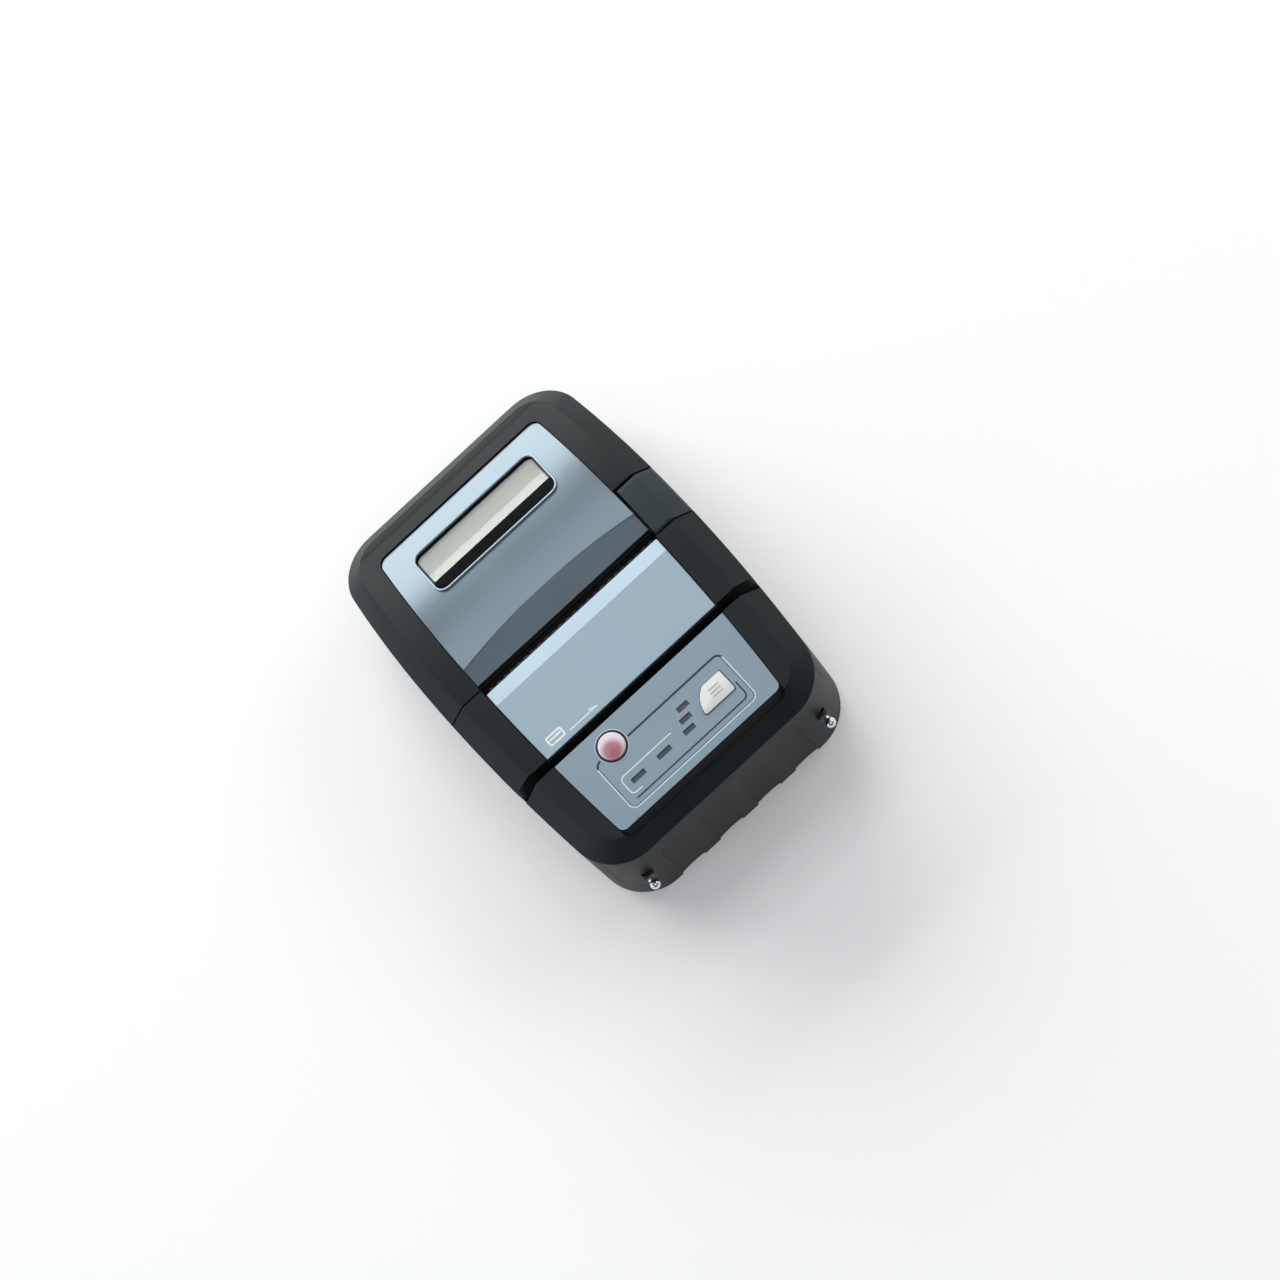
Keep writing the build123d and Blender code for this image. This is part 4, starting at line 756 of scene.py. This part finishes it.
class PrinterSizes(bpy.types.PropertyGroup):
    shoulder_round: bpy.props.FloatProperty(
        name="Shoulder rounding", description="Width of the soft edges of the rubber shoulders",
        unit="LENGTH", min=0, default=3.1 * MM,
    )
    lip_round: bpy.props.FloatProperty(
        name="Lip rounding", description="Width of the soft edges of the rubber beside the panels",
        unit="LENGTH", min=0, default=0.8 * MM,
    )
    rubber_edge: bpy.props.FloatProperty(
        name="Rubber edge", description="Width of the rubber's small edge rounding",
        unit="LENGTH", min=0, default=0.35 * MM,
    )
    panel_edge: bpy.props.FloatProperty(
        name="Panel edge", description="Width of the panels' edge rounding",
        unit="LENGTH", min=0, default=0.22 * MM,
    )
    # The window rim's light tone is a painted highlight
    rim_width: bpy.props.FloatProperty(
        name="Window rim", description="Width of the light rim round the window",
        unit="LENGTH", min=0, default=0.55 * MM,
    )
    # The black border on the lens is painted shade
    border_width: bpy.props.FloatProperty(
        name="Window border", description="Width of the black border on the lens",
        unit="LENGTH", min=0, default=0.55 * MM,
    )
    # The black band on the lens's near side is painted shade
    near_border: bpy.props.FloatProperty(
        name="Near border", description="Width of the black band on the near side of the lens",
        unit="LENGTH", min=0, default=3.8 * MM,
    )
    key_corner: bpy.props.FloatProperty(
        name="Feed button corners", description="Rounding of the feed button's corners",
        unit="LENGTH", min=0, default=0.7 * MM,
    )
    ink: bpy.props.FloatProperty(
        name="Ink", description="Height of printed and engraved lines over a face",
        unit="LENGTH", min=0, default=0.03 * MM,
    )


class StageLooks(bpy.types.PropertyGroup):
    distance: bpy.props.FloatProperty(
        name="Camera distance", description="From the middle of the object to the camera",
        unit="LENGTH", min=0.1, default=1.2763,
    )
    lens: bpy.props.FloatProperty(
        name="Lens", description="Focal length in millimetres", min=10, default=145.6,
    )
    tilt: bpy.props.FloatProperty(
        name="Tilt", description="Angle of the view from straight down", subtype="ANGLE",
        default=math.radians(19.01),
    )
    aim: bpy.props.FloatVectorProperty(
        name="Aim", description="Point that the camera looks at", subtype="XYZ", unit="LENGTH",
        size=3, default=(8.49 * MM, -10.44 * MM, 21.5 * MM),
    )
    roll: bpy.props.FloatProperty(
        name="Roll", description="Turn of the picture", subtype="ANGLE",
        default=math.radians(-42.66),
    )
    floor_colour: bpy.props.FloatVectorProperty(
        name="Floor", description="Colour of the floor", subtype="COLOR",
        size=3, min=0, max=1, default=(0.93, 0.93, 0.93),
    )
    floor_glow: bpy.props.FloatProperty(
        name="Floor glow", description="Light that the floor gives by itself", min=0, default=0.16,
    )


# Pieces


class PRINTER_OT_finishes(bpy.types.Operator):
    """Give every CAD node its finish"""

    bl_idname = "printer.finishes"
    bl_label = "Finishes"

    def execute(self, context):
        make_finishes(context.scene.printer_looks)
        for name, node in NODES.items():
            node.data.materials.clear()
            node.data.materials.append(FINISHES[OWN_FINISH.get(name, node_slot(name))])
        return {"FINISHED"}


class PRINTER_OT_rubber_shells(bpy.types.Operator):
    """Soft-edged rubber shells of the base, the cover and the open button"""

    bl_idname = "printer.rubber_shells"
    bl_label = "Rubber shells"

    def execute(self, context):
        sizes = context.scene.printer_sizes
        for node, body in (
            ("base_bumper", "base"),
            ("cover_bumper", "cover"),
            ("open_button", "open_button"),
        ):
            piece = node_copy(node)
            round_edges(piece, outer_shoulder, sizes.shoulder_round, steps=6)
            round_edges(piece, inner_lip, sizes.lip_round, steps=4, least=35)
            round_edges(piece, lambda p: True, sizes.rubber_edge, steps=2, least=35)
            smooth(piece, 40)
            finish = OWN_FINISH.get(node, "bumper_rubber")
            finish_piece(piece, "soft_" + node, body, finish, [node])
        return {"FINISHED"}


# Top of the body: where its fall starts, the radius of the fall and the drop of the shoulders
CREST_Y = 8 * MM
CREST_RADIUS = 96 * MM
SHOULDER_DROP = 5 * MM
# Reach of the shoulder's upper and lower edges from the sides and from the ends
UPPER_REACH = (9.5 * MM, 5.6 * MM)
LOWER_REACH = (4.6 * MM, 0.6 * MM)


def crest_height(y):
    """Height of the body's outer top face, flat in front of the crest and falling behind it."""
    top = CAD_BOX[1].z
    if y <= CREST_Y:
        return top
    return top - CREST_RADIUS + math.sqrt(CREST_RADIUS**2 - (y - CREST_Y) ** 2)


def outer_shoulder(point):
    """Whether a point lies on the long edges of the outer shoulder bevel."""
    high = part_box("base_bumper")[1]
    inwards = (high.x - abs(point.x), high.y - abs(point.y))
    over = point.z - crest_height(point.y)
    upper_slack, lower_slack = 0.4 * MM, 1.2 * MM
    if abs(over) < upper_slack:
        return inwards[0] < UPPER_REACH[0] or inwards[1] < UPPER_REACH[1]
    if abs(over + SHOULDER_DROP) < lower_slack:
        return inwards[0] < LOWER_REACH[0] or inwards[1] < LOWER_REACH[1]
    return False


def inner_lip(point):
    """Whether a point lies on the rubber's upper edge beside the panels."""
    near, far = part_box("control_panel")[0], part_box("cover_panel")[1]
    reach, slack = 0.9 * MM, 0.15 * MM
    beside = abs(point.x) < far.x + reach and near.y - reach < point.y < far.y + reach
    return beside and abs(point.z - crest_height(point.y)) < slack


class PRINTER_OT_panels(bpy.types.Operator):
    """Satin panels with fine rounded edges"""

    bl_idname = "printer.panels"
    bl_label = "Panels"

    def execute(self, context):
        sizes = context.scene.printer_sizes
        key_gap, panel_depth, panel_fall = 0.15 * MM, 4 * MM, 8.5 * MM
        around_key = Vector((0.5, 0.5, 1)) * MM
        for node, body in (("cover_panel", "cover"), ("mid_panel", "base"), ("control_panel", "base")):
            piece = node_copy(node)
            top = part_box(node)[1].z
            if node == "control_panel":
                low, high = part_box("feed_button")
                low.z = top - panel_depth
                round_corners(piece, low - around_key, high + around_key, sizes.key_corner + key_gap)
            level = top - panel_fall
            round_edges(piece, lambda p: p.z > level, sizes.panel_edge, steps=3, least=35)
            smooth(piece, 6)
            finish = OWN_FINISH.get(node, "panel_grey")
            finish_piece(piece, "satin_" + node, body, finish, [node])
            if node == "mid_panel":
                # The strip's faces get the lightened paint, a painted highlight
                piece.data.materials.append(FINISHES["strip_grey"])
                for face in piece.data.polygons:
                    face.material_index = int(on_strip(face))
        return {"FINISHED"}


def on_strip(face):
    """Whether a face is the middle panel's strip, which leans a little towards the far end and is given a
    painted highlight.
    """
    return 0.1 < face.normal.y < 0.4 and face.normal.z > 0.9


class PRINTER_OT_window(bpy.types.Operator):
    """Light rim of the cover's window, a painted highlight, and a black painted shade on its lens"""

    bl_idname = "printer.window"
    bl_label = "Window"

    def execute(self, context):
        sizes = context.scene.printer_sizes
        low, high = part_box("window_lens")
        middle = (low + high) / 2
        width = high.x - low.x + 2 * sizes.rim_width
        slope = math.atan2(crest_height(high.y) - crest_height(low.y), high.y - low.y)
        length = (high.y - low.y) / math.cos(slope) + 2 * sizes.rim_width
        corner, height, edge, sunk = 2.9 * MM, 0.5 * MM, 0.3 * MM, 0.62 * MM
        ring = frame_ring(width, length, corner, sizes.rim_width, height)
        round_edges(ring, lambda p: p.z > 0.8 * height, edge, steps=3, least=35)
        level = crest_height(middle.y) - sunk
        place(ring, Matrix.Rotation(slope, 4, "X"), (middle.x, middle.y, level))
        smooth(ring)
        # The rim gets the lightened rim paint, a painted highlight
        finish_piece(ring, "window_rim", "cover", "rim_grey")
        # Black border round the lens, painted shade
        border = lens_skin()
        bpy.ops.mesh.inset(thickness=sizes.border_width, use_boundary=True)
        bpy.ops.mesh.delete(type="FACE")
        leave_edit()
        # Black band over the lens's near side, painted shade
        band = lens_skin()
        bpy.ops.mesh.bisect(
            plane_co=(0, low.y + sizes.near_border, 0), plane_no=(0, 1, 0), clear_outer=True
        )
        leave_edit()
        border = raised_sheet(joined([border, band]), sizes.ink)
        smooth(border, 10)
        finish_piece(border, "window_border", "cover", "gloss_black")
        return {"FINISHED"}


def lens_skin():
    """Upper face of the window lens, just over it, selected in edit mode."""
    lift = 0.01 * MM
    skin = node_copy("window_lens")
    pick(skin, "FACE", lambda f: f.normal.z < 0.8)
    bpy.ops.mesh.delete(type="FACE")
    bpy.ops.mesh.select_all(action="SELECT")
    bpy.ops.transform.translate(value=(0, 0, lift))
    return skin


class PRINTER_OT_controls(bpy.types.Operator):
    """Button caps with rounded rims, the power button's rings and the feed button's bars"""

    bl_idname = "printer.controls"
    bl_label = "Controls"

    def execute(self, context):
        sizes = context.scene.printer_sizes
        ring_gap, ring_band, ring_height, ring_sunk = 0.12 * MM, 0.45 * MM, 0.6 * MM, 0.4 * MM
        rim_gap, rim_band, rim_height = 0.58 * MM, 0.24 * MM, 0.1 * MM
        cap_depth, cap_edge, cap_slack = 1.5 * MM, 0.25 * MM, 0.2 * MM
        bar_size, bar_pitch, bar_shift = (3.2 * MM, 0.32 * MM), 1 * MM, 0.9 * MM
        low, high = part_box("power_button")
        middle = (low + high) / 2
        radius = (high.x - low.x) / 2
        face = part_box("control_panel")[1].z
        ring = turned_ring(radius + ring_gap, ring_band, ring_height)
        place(ring, at=(middle.x, middle.y, face - ring_sunk))
        finish_piece(ring, "power_ring", "base", "dark_plastic")
        rim = turned_ring(radius + rim_gap, rim_band, rim_height)
        place(rim, at=(middle.x, middle.y, face))
        # The power rim gets the lightened rim paint, a painted highlight
        finish_piece(rim, "power_rim", "base", "rim_grey")
        for node, slot in (("power_button", "button_red"), ("feed_button", "button_white")):
            cap = node_copy(node)
            low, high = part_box(node)
            top = high.z
            if node == "feed_button":
                edge = Vector((0.1, 0.1, 1)) * MM
                low.z = top - cap_depth
                round_corners(cap, low - edge, high + edge, sizes.key_corner)
            round_edges(cap, lambda p: p.z > top - cap_slack, cap_edge, steps=3, least=25)
            smooth(cap, 40)
            finish_piece(cap, node + "_cap", node, slot, [node])
        low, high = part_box("feed_button")
        middle = (low + high) / 2
        bars = [raised_sheet(flat_sheet(*bar_size, 0), sizes.ink) for row in range(3)]
        for row, bar in enumerate(bars, start=-1):
            place(bar, at=(middle.x + bar_shift, middle.y + row * bar_pitch, high.z))
        finish_piece(joined(bars), "feed_mark", "feed_button", "grey_print")
        return {"FINISHED"}


def turned_ring(inner, band, height, sides=56):
    """Round ring with a domed section, standing on z = 0."""
    deselect()
    bpy.ops.mesh.primitive_circle_add(vertices=sides, radius=inner, fill_type="NOTHING")
    ring = bpy.context.object
    pick_all(ring)
    outer = (inner + band) / inner
    bpy.ops.mesh.extrude_edges_move()
    bpy.ops.transform.resize(value=(outer, outer, 1))
    bpy.ops.mesh.select_all(action="SELECT")
    bpy.ops.mesh.extrude_region_move(TRANSFORM_OT_translate={"value": (0, 0, height)})
    close_up()
    round_edges(ring, lambda p: p.z > height / 2, min(band, height) * 0.4, steps=3, least=35)
    smooth(ring, 40)
    return ring


class PRINTER_OT_marks(bpy.types.Operator):
    """Printed card symbol, arrow and line on the panels"""

    bl_idname = "printer.marks"
    bl_label = "Printed marks"

    def execute(self, context):
        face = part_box("mid_panel")[1].z
        ink = context.scene.printer_sizes.ink
        card_size, card_corner, card_line = (5.0 * MM, 2.8 * MM), 0.6 * MM, 0.55 * MM
        stripe_length, stripe_rise = 3.6 * MM, 0.15 * MM
        symbol_at = (-22.4 * MM, -21.2 * MM)
        line_size, line_at = (9.0 * MM, 0.36 * MM), (-14.3 * MM, -22.5 * MM)
        barb_size, barb_at = (2.6 * MM, 0.34 * MM), (-11.0 * MM, -22.18 * MM)
        barb_turn = math.radians(-16)
        rule_size, rule_corner, rule_line = (17.4 * MM, 5.4 * MM), 1.3 * MM, 0.28 * MM
        rule_at, far_end, near_end = (-9.3 * MM, -42.9 * MM), 8.0 * MM, -5.5 * MM

        card = frame_ring(*card_size, card_corner, card_line, ink)
        stripe = raised_sheet(flat_sheet(stripe_length, card_line, 0), ink)
        place(stripe, at=(0, stripe_rise, 0))
        symbol = joined([card, stripe])
        place(symbol, at=(*symbol_at, face))
        line = raised_sheet(flat_sheet(*line_size, 0), ink)
        place(line, at=(*line_at, face))
        barb = raised_sheet(flat_sheet(*barb_size, 0), ink)
        place(barb, Matrix.Rotation(barb_turn, 4, "Z"), (*barb_at, face + 0.2 * ink))
        arrow = joined([line, barb])
        rule = frame_ring(
            *rule_size, rule_corner, rule_line, ink,
            cuts=[((far_end, 0, 0), (1, 0, 0)), ((near_end, 0, 0), (1, 0, 0))],
            drop=lambda p: p.x > far_end or (p.y < 0 and p.x > near_end),
        )
        place(rule, at=(*rule_at, face))
        for piece, name in ((symbol, "card_symbol"), (arrow, "swipe_arrow"), (rule, "lamp_rule")):
            finish_piece(piece, name, "base", "white_print")
        return {"FINISHED"}


class PRINTER_OT_outlines(bpy.types.Operator):
    """Engraved double outline round the controls, broken behind the power button; its dark lines are
    painted shade in the grooves and its pale line a painted highlight
    """

    bl_idname = "printer.outlines"
    bl_label = "Engraved outlines"

    def execute(self, context):
        ink = context.scene.printer_sizes.ink
        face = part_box("control_panel")[1].z
        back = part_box("control_panel")[1].y
        low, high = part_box("power_button")
        button = (low + high) / 2
        button_gap, from_back, shoulder = 1.0 * MM, 6.5 * MM, 1.6 * MM
        width, length, corner = 41.0 * MM, 15.4 * MM, 2.0 * MM
        far_band, near_band, shade_band = 0.55 * MM, 0.38 * MM, 0.2 * MM
        inset, inner_corner, inner_band = 3.4 * MM, 1.6 * MM, 0.42 * MM
        inner_top, inner_left, left_height = -1 * MM, -14 * MM, 2 * MM
        reach = (high.x - low.x) / 2 + button_gap
        middle = Vector((0, back - from_back - length / 2, face))
        level = length / 2 - shoulder
        across = abs(button.y - (middle.y + length / 2))
        half = math.sqrt(max(reach**2 - across**2, 0))
        gap = (button.x - half, button.x + half)
        far_cut = [((0, level, 0), (0, 1, 0))]
        far_line = frame_ring(
            width, length, corner, far_band, ink,
            cuts=[((gap[0], 0, 0), (1, 0, 0)), ((gap[1], 0, 0), (1, 0, 0)), *far_cut],
            drop=lambda p: p.y < level or gap[0] < p.x < gap[1],
        )
        near_line = frame_ring(
            width, length, corner, near_band, ink,
            cuts=far_cut, drop=lambda p: p.y > level,
        )
        shade = frame_ring(
            width - 2 * near_band, length - 2 * near_band, corner - near_band, shade_band, ink,
            cuts=far_cut, drop=lambda p: p.y > level,
        )
        inner_line = frame_ring(
            width - inset, length - inset, inner_corner, inner_band, ink,
            cuts=[((0, inner_top, 0), (0, 1, 0)), ((inner_left, 0, 0), (1, 0, 0))],
            drop=lambda p: p.y > inner_top or (p.x < inner_left and p.y > left_height - length / 2),
        )
        # Dark lines are painted shade in the grooves; the pale near line is a painted highlight
        for piece, name, finish, slot in (
            (far_line, "outline_far", "engraved", "dark_plastic"),
            (near_line, "outline_near", "rim_grey", "panel_grey"),
            (shade, "outline_shade", "engraved", "dark_plastic"),
            (inner_line, "outline_inner", "engraved", "dark_plastic"),
        ):
            place(piece, at=middle)
            finish_piece(piece, name, "base", finish)
        return {"FINISHED"}


class PRINTER_OT_studs(bpy.types.Operator):
    """Turned strap studs with round heads"""

    bl_idname = "printer.studs"
    bl_label = "Strap studs"

    def execute(self, context):
        low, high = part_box("strap_studs")
        head, neck, root, collar = 1.35 * MM, 0.8 * MM, 0.6 * MM, 0.5 * MM
        half_head, tip_gap, tip, steps = 1.5 * MM, 0.4 * MM, 0.02, 12
        seat_wide, seat_narrow, seat_bore = 1.8 * MM, 1.6 * MM, 0.5 * MM
        seat_root, seat_edge, seat_top = -0.4 * MM, 0.3 * MM, 0.5 * MM
        face_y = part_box("base_bumper")[0].y
        centre = face_y - low.y - tip_gap - head
        stations = [(-root, neck), (collar, neck)]
        start = math.asin(neck / head)
        for i in range(steps + 1):
            angle = math.pi - start - i * (math.pi - start - tip) / steps
            stations.append((centre + head * math.cos(angle), head * math.sin(angle)))
        seat_stations = [
            (seat_root, seat_wide), (seat_edge, seat_wide), (seat_top, seat_narrow), (seat_top, seat_bore)
        ]
        turn = Matrix.Rotation(math.radians(90), 4, "X")
        studs, seats = [], []
        for x in (low.x + half_head, high.x - half_head):
            for made, shape in ((studs, stations), (seats, seat_stations)):
                piece = turned(shape)
                place(piece, turn, (x, face_y, (low.z + high.z) / 2))
                made.append(piece)
        pair = joined(studs)
        smooth(pair, 45)
        finish_piece(pair, "round_studs", "base", "stud_chrome", ["strap_studs"])
        pair = joined(seats)
        smooth(pair, 30)
        finish_piece(pair, "stud_seats", "base", "dark_plastic")
        return {"FINISHED"}


class PRINTER_OT_stage(bpy.types.Operator):
    """Pale floor, soft studio light and the camera"""

    bl_idname = "printer.stage"
    bl_label = "Stage"

    def execute(self, context):
        stage = context.scene.printer_stage
        make_floor(stage)
        make_world()
        make_lights()
        make_camera(stage)
        context.scene.view_settings.view_transform = "Standard"
        return {"FINISHED"}


def make_floor(stage):
    """Pale floor just under the object, seen from above only."""
    width, drop = 6, 0.05 * MM
    deselect()
    bpy.ops.mesh.primitive_plane_add(size=width, location=(0, 0, -drop))
    floor = bpy.context.object
    floor.name = "studio_floor"
    pick_all(floor)
    bpy.ops.mesh.subdivide(number_cuts=7)
    leave_edit()
    material, shader = plain_finish("floor_paper", stage.floor_colour, 0.8)
    toned(material, shader, stage.floor_colour, stage.floor_colour, 3.0, 0.75)
    shader.inputs["Emission Color"].default_value = (1, 1, 1, 1)
    shader.inputs["Emission Strength"].default_value = stage.floor_glow
    tree = material.node_tree
    side = tree.nodes.new("ShaderNodeNewGeometry")
    seen = tree.nodes.new("ShaderNodeMath")
    seen.operation = "SUBTRACT"
    seen.inputs[0].default_value = 1
    tree.links.new(side.outputs["Backfacing"], seen.inputs[1])
    tree.links.new(seen.outputs[0], shader.inputs["Alpha"])
    floor.data.materials.append(material)


def make_world():
    """Air that is bright low down behind the object and dim above and in front."""
    world = bpy.data.worlds.new("studio_air")
    world.use_nodes = True
    tree = world.node_tree
    back = tree.nodes["Background"]
    where = tree.nodes.new("ShaderNodeTexCoord")
    along = tree.nodes.new("ShaderNodeVectorMath")
    along.operation = "DOT_PRODUCT"
    dim_side = (-0.12, -0.42, 0.9)
    along.inputs[1].default_value = dim_side
    spread = tree.nodes.new("ShaderNodeMapRange")
    spread.inputs["From Min"].default_value = -0.3
    spread.inputs["From Max"].default_value = 0.75
    ramp = tree.nodes.new("ShaderNodeValToRGB")
    ramp.color_ramp.elements[0].position = 0.0
    ramp.color_ramp.elements[0].color = (1.0, 1.0, 1.0, 1)
    ramp.color_ramp.elements[1].position = 1.0
    ramp.color_ramp.elements[1].color = (0.14, 0.145, 0.155, 1)
    tree.links.new(where.outputs["Generated"], along.inputs[0])
    tree.links.new(along.outputs["Value"], spread.inputs["Value"])
    tree.links.new(spread.outputs["Result"], ramp.inputs["Fac"])
    tree.links.new(ramp.outputs["Color"], back.inputs["Color"])
    back.inputs["Strength"].default_value = 0.9
    bpy.context.scene.world = world


def soft_light(name, size, glow, around, above, tint=(1, 1, 1), away=1.5):
    """Square soft light that faces the object, at angles around Z from +Y and above the floor."""
    turn, rise = math.radians(around), math.radians(above)
    at = away * Vector((math.sin(turn) * math.cos(rise), math.cos(turn) * math.cos(rise), math.sin(rise)))
    data = bpy.data.lights.new(name, "AREA")
    data.shape = "RECTANGLE"
    data.size, data.size_y = size
    data.energy = math.pi * size[0] * size[1] * glow
    data.color = tint
    light = bpy.data.objects.new(name, data)
    bpy.context.collection.objects.link(light)
    light.location = at
    light.rotation_euler = (-at).to_track_quat("-Z", "Y").to_euler()


def make_lights():
    """Soft boxes behind, over, beside and in front of the object."""
    soft_light("far_box", size=(1.9, 0.74), glow=3.9, around=0, above=24.5, tint=(1.0, 0.99, 0.97))
    soft_light("far_strip", size=(1.9, 0.09), glow=6.5, around=0, above=40.2)
    soft_light("top_box", size=(1.1, 0.56), glow=1.8, around=0, above=69.0, tint=(0.95, 0.98, 1.0))
    soft_light("right_box", size=(0.9, 0.5), glow=2.2, around=90, above=38.0)
    soft_light("left_box", size=(1.2, 0.2), glow=4.0, around=-90, above=14.0, tint=(0.6, 0.75, 1.0))
    soft_light("front_box", size=(1.0, 0.6), glow=1.1, around=180, above=62.0)


def make_camera(stage):
    """Camera at the viewing angle, turned about its own line of sight."""
    back = Vector((0, -math.sin(stage.tilt), math.cos(stage.tilt)))
    data = bpy.data.cameras.new("photo_view")
    data.sensor_width = 36
    data.lens = stage.lens
    data.clip_end = 50
    camera = bpy.data.objects.new("photo_view", data)
    bpy.context.collection.objects.link(camera)
    turn = Matrix.Rotation(stage.tilt, 4, "X") @ Matrix.Rotation(stage.roll, 4, "Z")
    camera.matrix_world = Matrix.Translation(Vector(stage.aim) + back * stage.distance) @ turn
    bpy.context.scene.camera = camera


# Panel and registration

STEPS = (
    PRINTER_OT_finishes,
    PRINTER_OT_rubber_shells,
    PRINTER_OT_panels,
    PRINTER_OT_window,
    PRINTER_OT_controls,
    PRINTER_OT_marks,
    PRINTER_OT_outlines,
    PRINTER_OT_studs,
    PRINTER_OT_stage,
)


class PRINTER_PT_sidebar(bpy.types.Panel):
    """Settings and steps of the printer's looks"""

    bl_label = "Receipt printer"
    bl_idname = "PRINTER_PT_sidebar"
    bl_space_type = "VIEW_3D"
    bl_region_type = "UI"
    bl_category = "Printer"

    def draw(self, context):
        scene = context.scene
        for group in (scene.printer_looks, scene.printer_sizes, scene.printer_stage):
            for name in group.__annotations__:
                self.layout.prop(group, name)
        for step in STEPS:
            self.layout.operator(step.bl_idname)


CLASSES = (PrinterLooks, PrinterSizes, StageLooks, *STEPS, PRINTER_PT_sidebar)


def register():
    for kind in CLASSES:
        bpy.utils.register_class(kind)
    bpy.types.Scene.printer_looks = bpy.props.PointerProperty(type=PrinterLooks)
    bpy.types.Scene.printer_sizes = bpy.props.PointerProperty(type=PrinterSizes)
    bpy.types.Scene.printer_stage = bpy.props.PointerProperty(type=StageLooks)


def unregister():
    del bpy.types.Scene.printer_stage
    del bpy.types.Scene.printer_sizes
    del bpy.types.Scene.printer_looks
    for kind in reversed(CLASSES):
        bpy.utils.unregister_class(kind)


def main():
    register()
    for step in STEPS:
        group, name = step.bl_idname.split(".")
        getattr(getattr(bpy.ops, group), name)()


if __name__ == "__main__":
    main()
